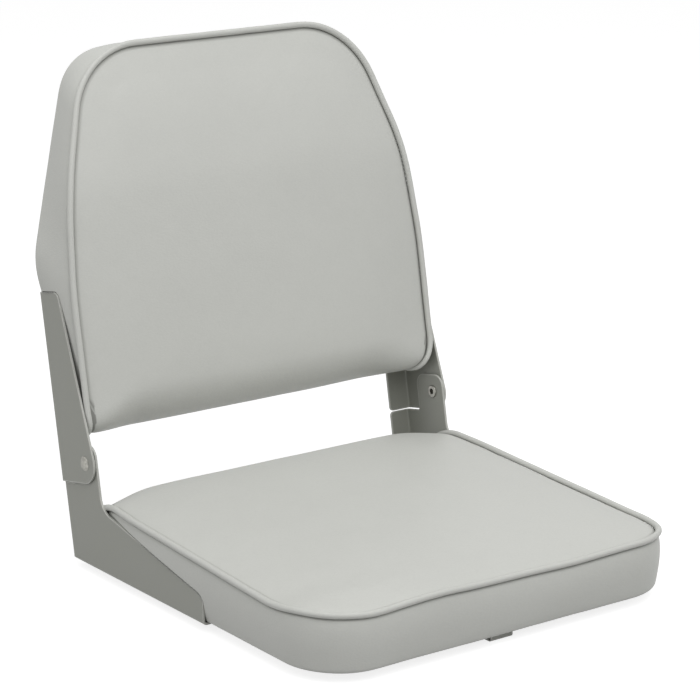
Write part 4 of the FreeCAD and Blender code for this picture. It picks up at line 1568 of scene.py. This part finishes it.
class BOATSEAT_OT_stage(bpy.types.Operator):
    """Build the floor, the lamps, the even light and the camera"""

    bl_idname = "boatseat.stage"
    bl_label = "Stage"

    def execute(self, context):
        stage = settings().stage
        build_floor(stage)
        build_sky(stage)
        build_lamp("top_lamp", (0.1, -0.25, 2.1), 2.6, stage.top_lamp)
        build_lamp("front_lamp", (-0.5, -1.6, 1.9), 2.0, stage.front_lamp)
        build_lamp("right_lamp", (1.6, -2.1, 1.3), 1.4, stage.right_lamp)
        build_lamp("left_lamp", (-2.2, 0.3, 1.7), 2.0, stage.left_lamp)
        build_camera(stage)
        context.scene.view_settings.view_transform = "Standard"
        return {"FINISHED"}


def build_floor(stage):
    """Pale floor that looks white from above, keeps the object's shadow and is clear from below."""
    half = stage.floor_size / 2
    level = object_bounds()[0].z
    corners = [(-half, -half), (half, -half), (half, half), (-half, half)]
    mesh = bpy.data.meshes.new("floor")
    mesh.from_pydata([(x, y, level) for x, y in corners], [], [(0, 1, 2, 3)])
    floor = bpy.data.objects.new("floor", mesh)
    bpy.context.scene.collection.objects.link(floor)
    material = bpy.data.materials.new("floor")
    tree = bare_tree(material)
    seen = seen_rays(tree)
    pale = tree.node("ShaderNodeBsdfDiffuse", {}, {"Color": opaque(settings().finish.floor)})
    glow = (seen * stage.floor_glow).shade((1, 1, 1))
    white = tree.node("ShaderNodeEmission", {}, {"Color": glow, "Strength": 1.0})
    above = tree.node("ShaderNodeAddShader", {}, {0: pale, 1: white})
    clear = tree.node("ShaderNodeBsdfTransparent")
    below = tree.node("ShaderNodeNewGeometry", output="Backfacing")
    mixed = tree.node("ShaderNodeMixShader", {}, {0: below, 1: above, 2: clear})
    tree.node("ShaderNodeOutputMaterial", {}, {"Surface": mixed})
    mesh.materials.append(material)
    floor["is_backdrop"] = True


def seen_rays(tree):
    """One for rays from the camera, mirrors and glass, zero for the light that falls on the object."""
    camera, glossy, through = [tree.node("ShaderNodeLightPath", output=name) for name in
                               ("Is Camera Ray", "Is Glossy Ray", "Is Transmission Ray")]
    return (camera + glossy + through).clamped()


def build_sky(stage):
    """Even light all round that looks white behind the object."""
    world = bpy.data.worlds.new("studio")
    bpy.context.scene.world = world
    tree = bare_tree(world)
    seen = seen_rays(tree)
    strength = seen * (1 - stage.sky) + stage.sky
    glow = tree.node("ShaderNodeBackground", {}, {"Color": opaque((1, 1, 1)), "Strength": strength})
    tree.node("ShaderNodeOutputWorld", {}, {"Surface": glow})


def build_lamp(name, spot, size, power):
    """Large soft box turned towards the seat."""
    data = bpy.data.lights.new(name, "AREA")
    data.shape = "DISK"
    data.size = size
    data.energy = power
    lamp = bpy.data.objects.new(name, data)
    lamp.location = spot
    lamp.rotation_mode = "QUATERNION"
    lamp.rotation_quaternion = (Vector(settings().stage.aim) - Vector(spot)).to_track_quat("-Z", "Y")
    bpy.context.scene.collection.objects.link(lamp)


def build_camera(stage):
    data = bpy.data.cameras.new("camera")
    data.sensor_width = 36
    data.lens = stage.lens
    data.clip_start = 0.1
    data.clip_end = 50
    camera = bpy.data.objects.new("camera", data)
    forward = Vector((math.sin(stage.azimuth) * math.cos(stage.elevation),
                      math.cos(stage.azimuth) * math.cos(stage.elevation), -math.sin(stage.elevation)))
    camera.location = Vector(stage.aim) - forward * stage.distance
    camera.rotation_mode = "QUATERNION"
    camera.rotation_quaternion = forward.to_track_quat("-Z", "Y")
    bpy.context.scene.collection.objects.link(camera)
    bpy.context.scene.camera = camera


OPERATORS = (
    BOATSEAT_OT_seat_cushion,
    BOATSEAT_OT_back_cushion,
    BOATSEAT_OT_welts,
    BOATSEAT_OT_stitches,
    BOATSEAT_OT_rear_panel,
    BOATSEAT_OT_staples,
    BOATSEAT_OT_screws,
    BOATSEAT_OT_finishes,
    BOATSEAT_OT_stage,
)


class BOATSEAT_PT_build(bpy.types.Panel):
    """Lists the steps that build the boat seat"""

    bl_idname = "BOATSEAT_PT_build"
    bl_label = "Boat Seat"
    bl_space_type = "VIEW_3D"
    bl_region_type = "UI"
    bl_category = "Boat Seat"

    def draw(self, context):
        for operator in OPERATORS:
            self.layout.operator(operator.bl_idname)


CLASSES = (
    SeatCushionSettings,
    BackCushionSettings,
    CoverSettings,
    FinishSettings,
    StageSettings,
    BoatSeatSettings,
    *OPERATORS,
    BOATSEAT_PT_build,
)


def register():
    for cls in CLASSES:
        bpy.utils.register_class(cls)
    bpy.types.Scene.boat_seat = PointerProperty(type=BoatSeatSettings)


def unregister():
    del bpy.types.Scene.boat_seat
    for cls in reversed(CLASSES):
        bpy.utils.unregister_class(cls)


def main():
    register()
    bpy.ops.boatseat.seat_cushion()
    bpy.ops.boatseat.back_cushion()
    bpy.ops.boatseat.welts()
    bpy.ops.boatseat.stitches()
    bpy.ops.boatseat.rear_panel()
    bpy.ops.boatseat.staples()
    bpy.ops.boatseat.screws()
    bpy.ops.boatseat.finishes()
    bpy.ops.boatseat.stage()


if __name__ == "__main__":
    main()
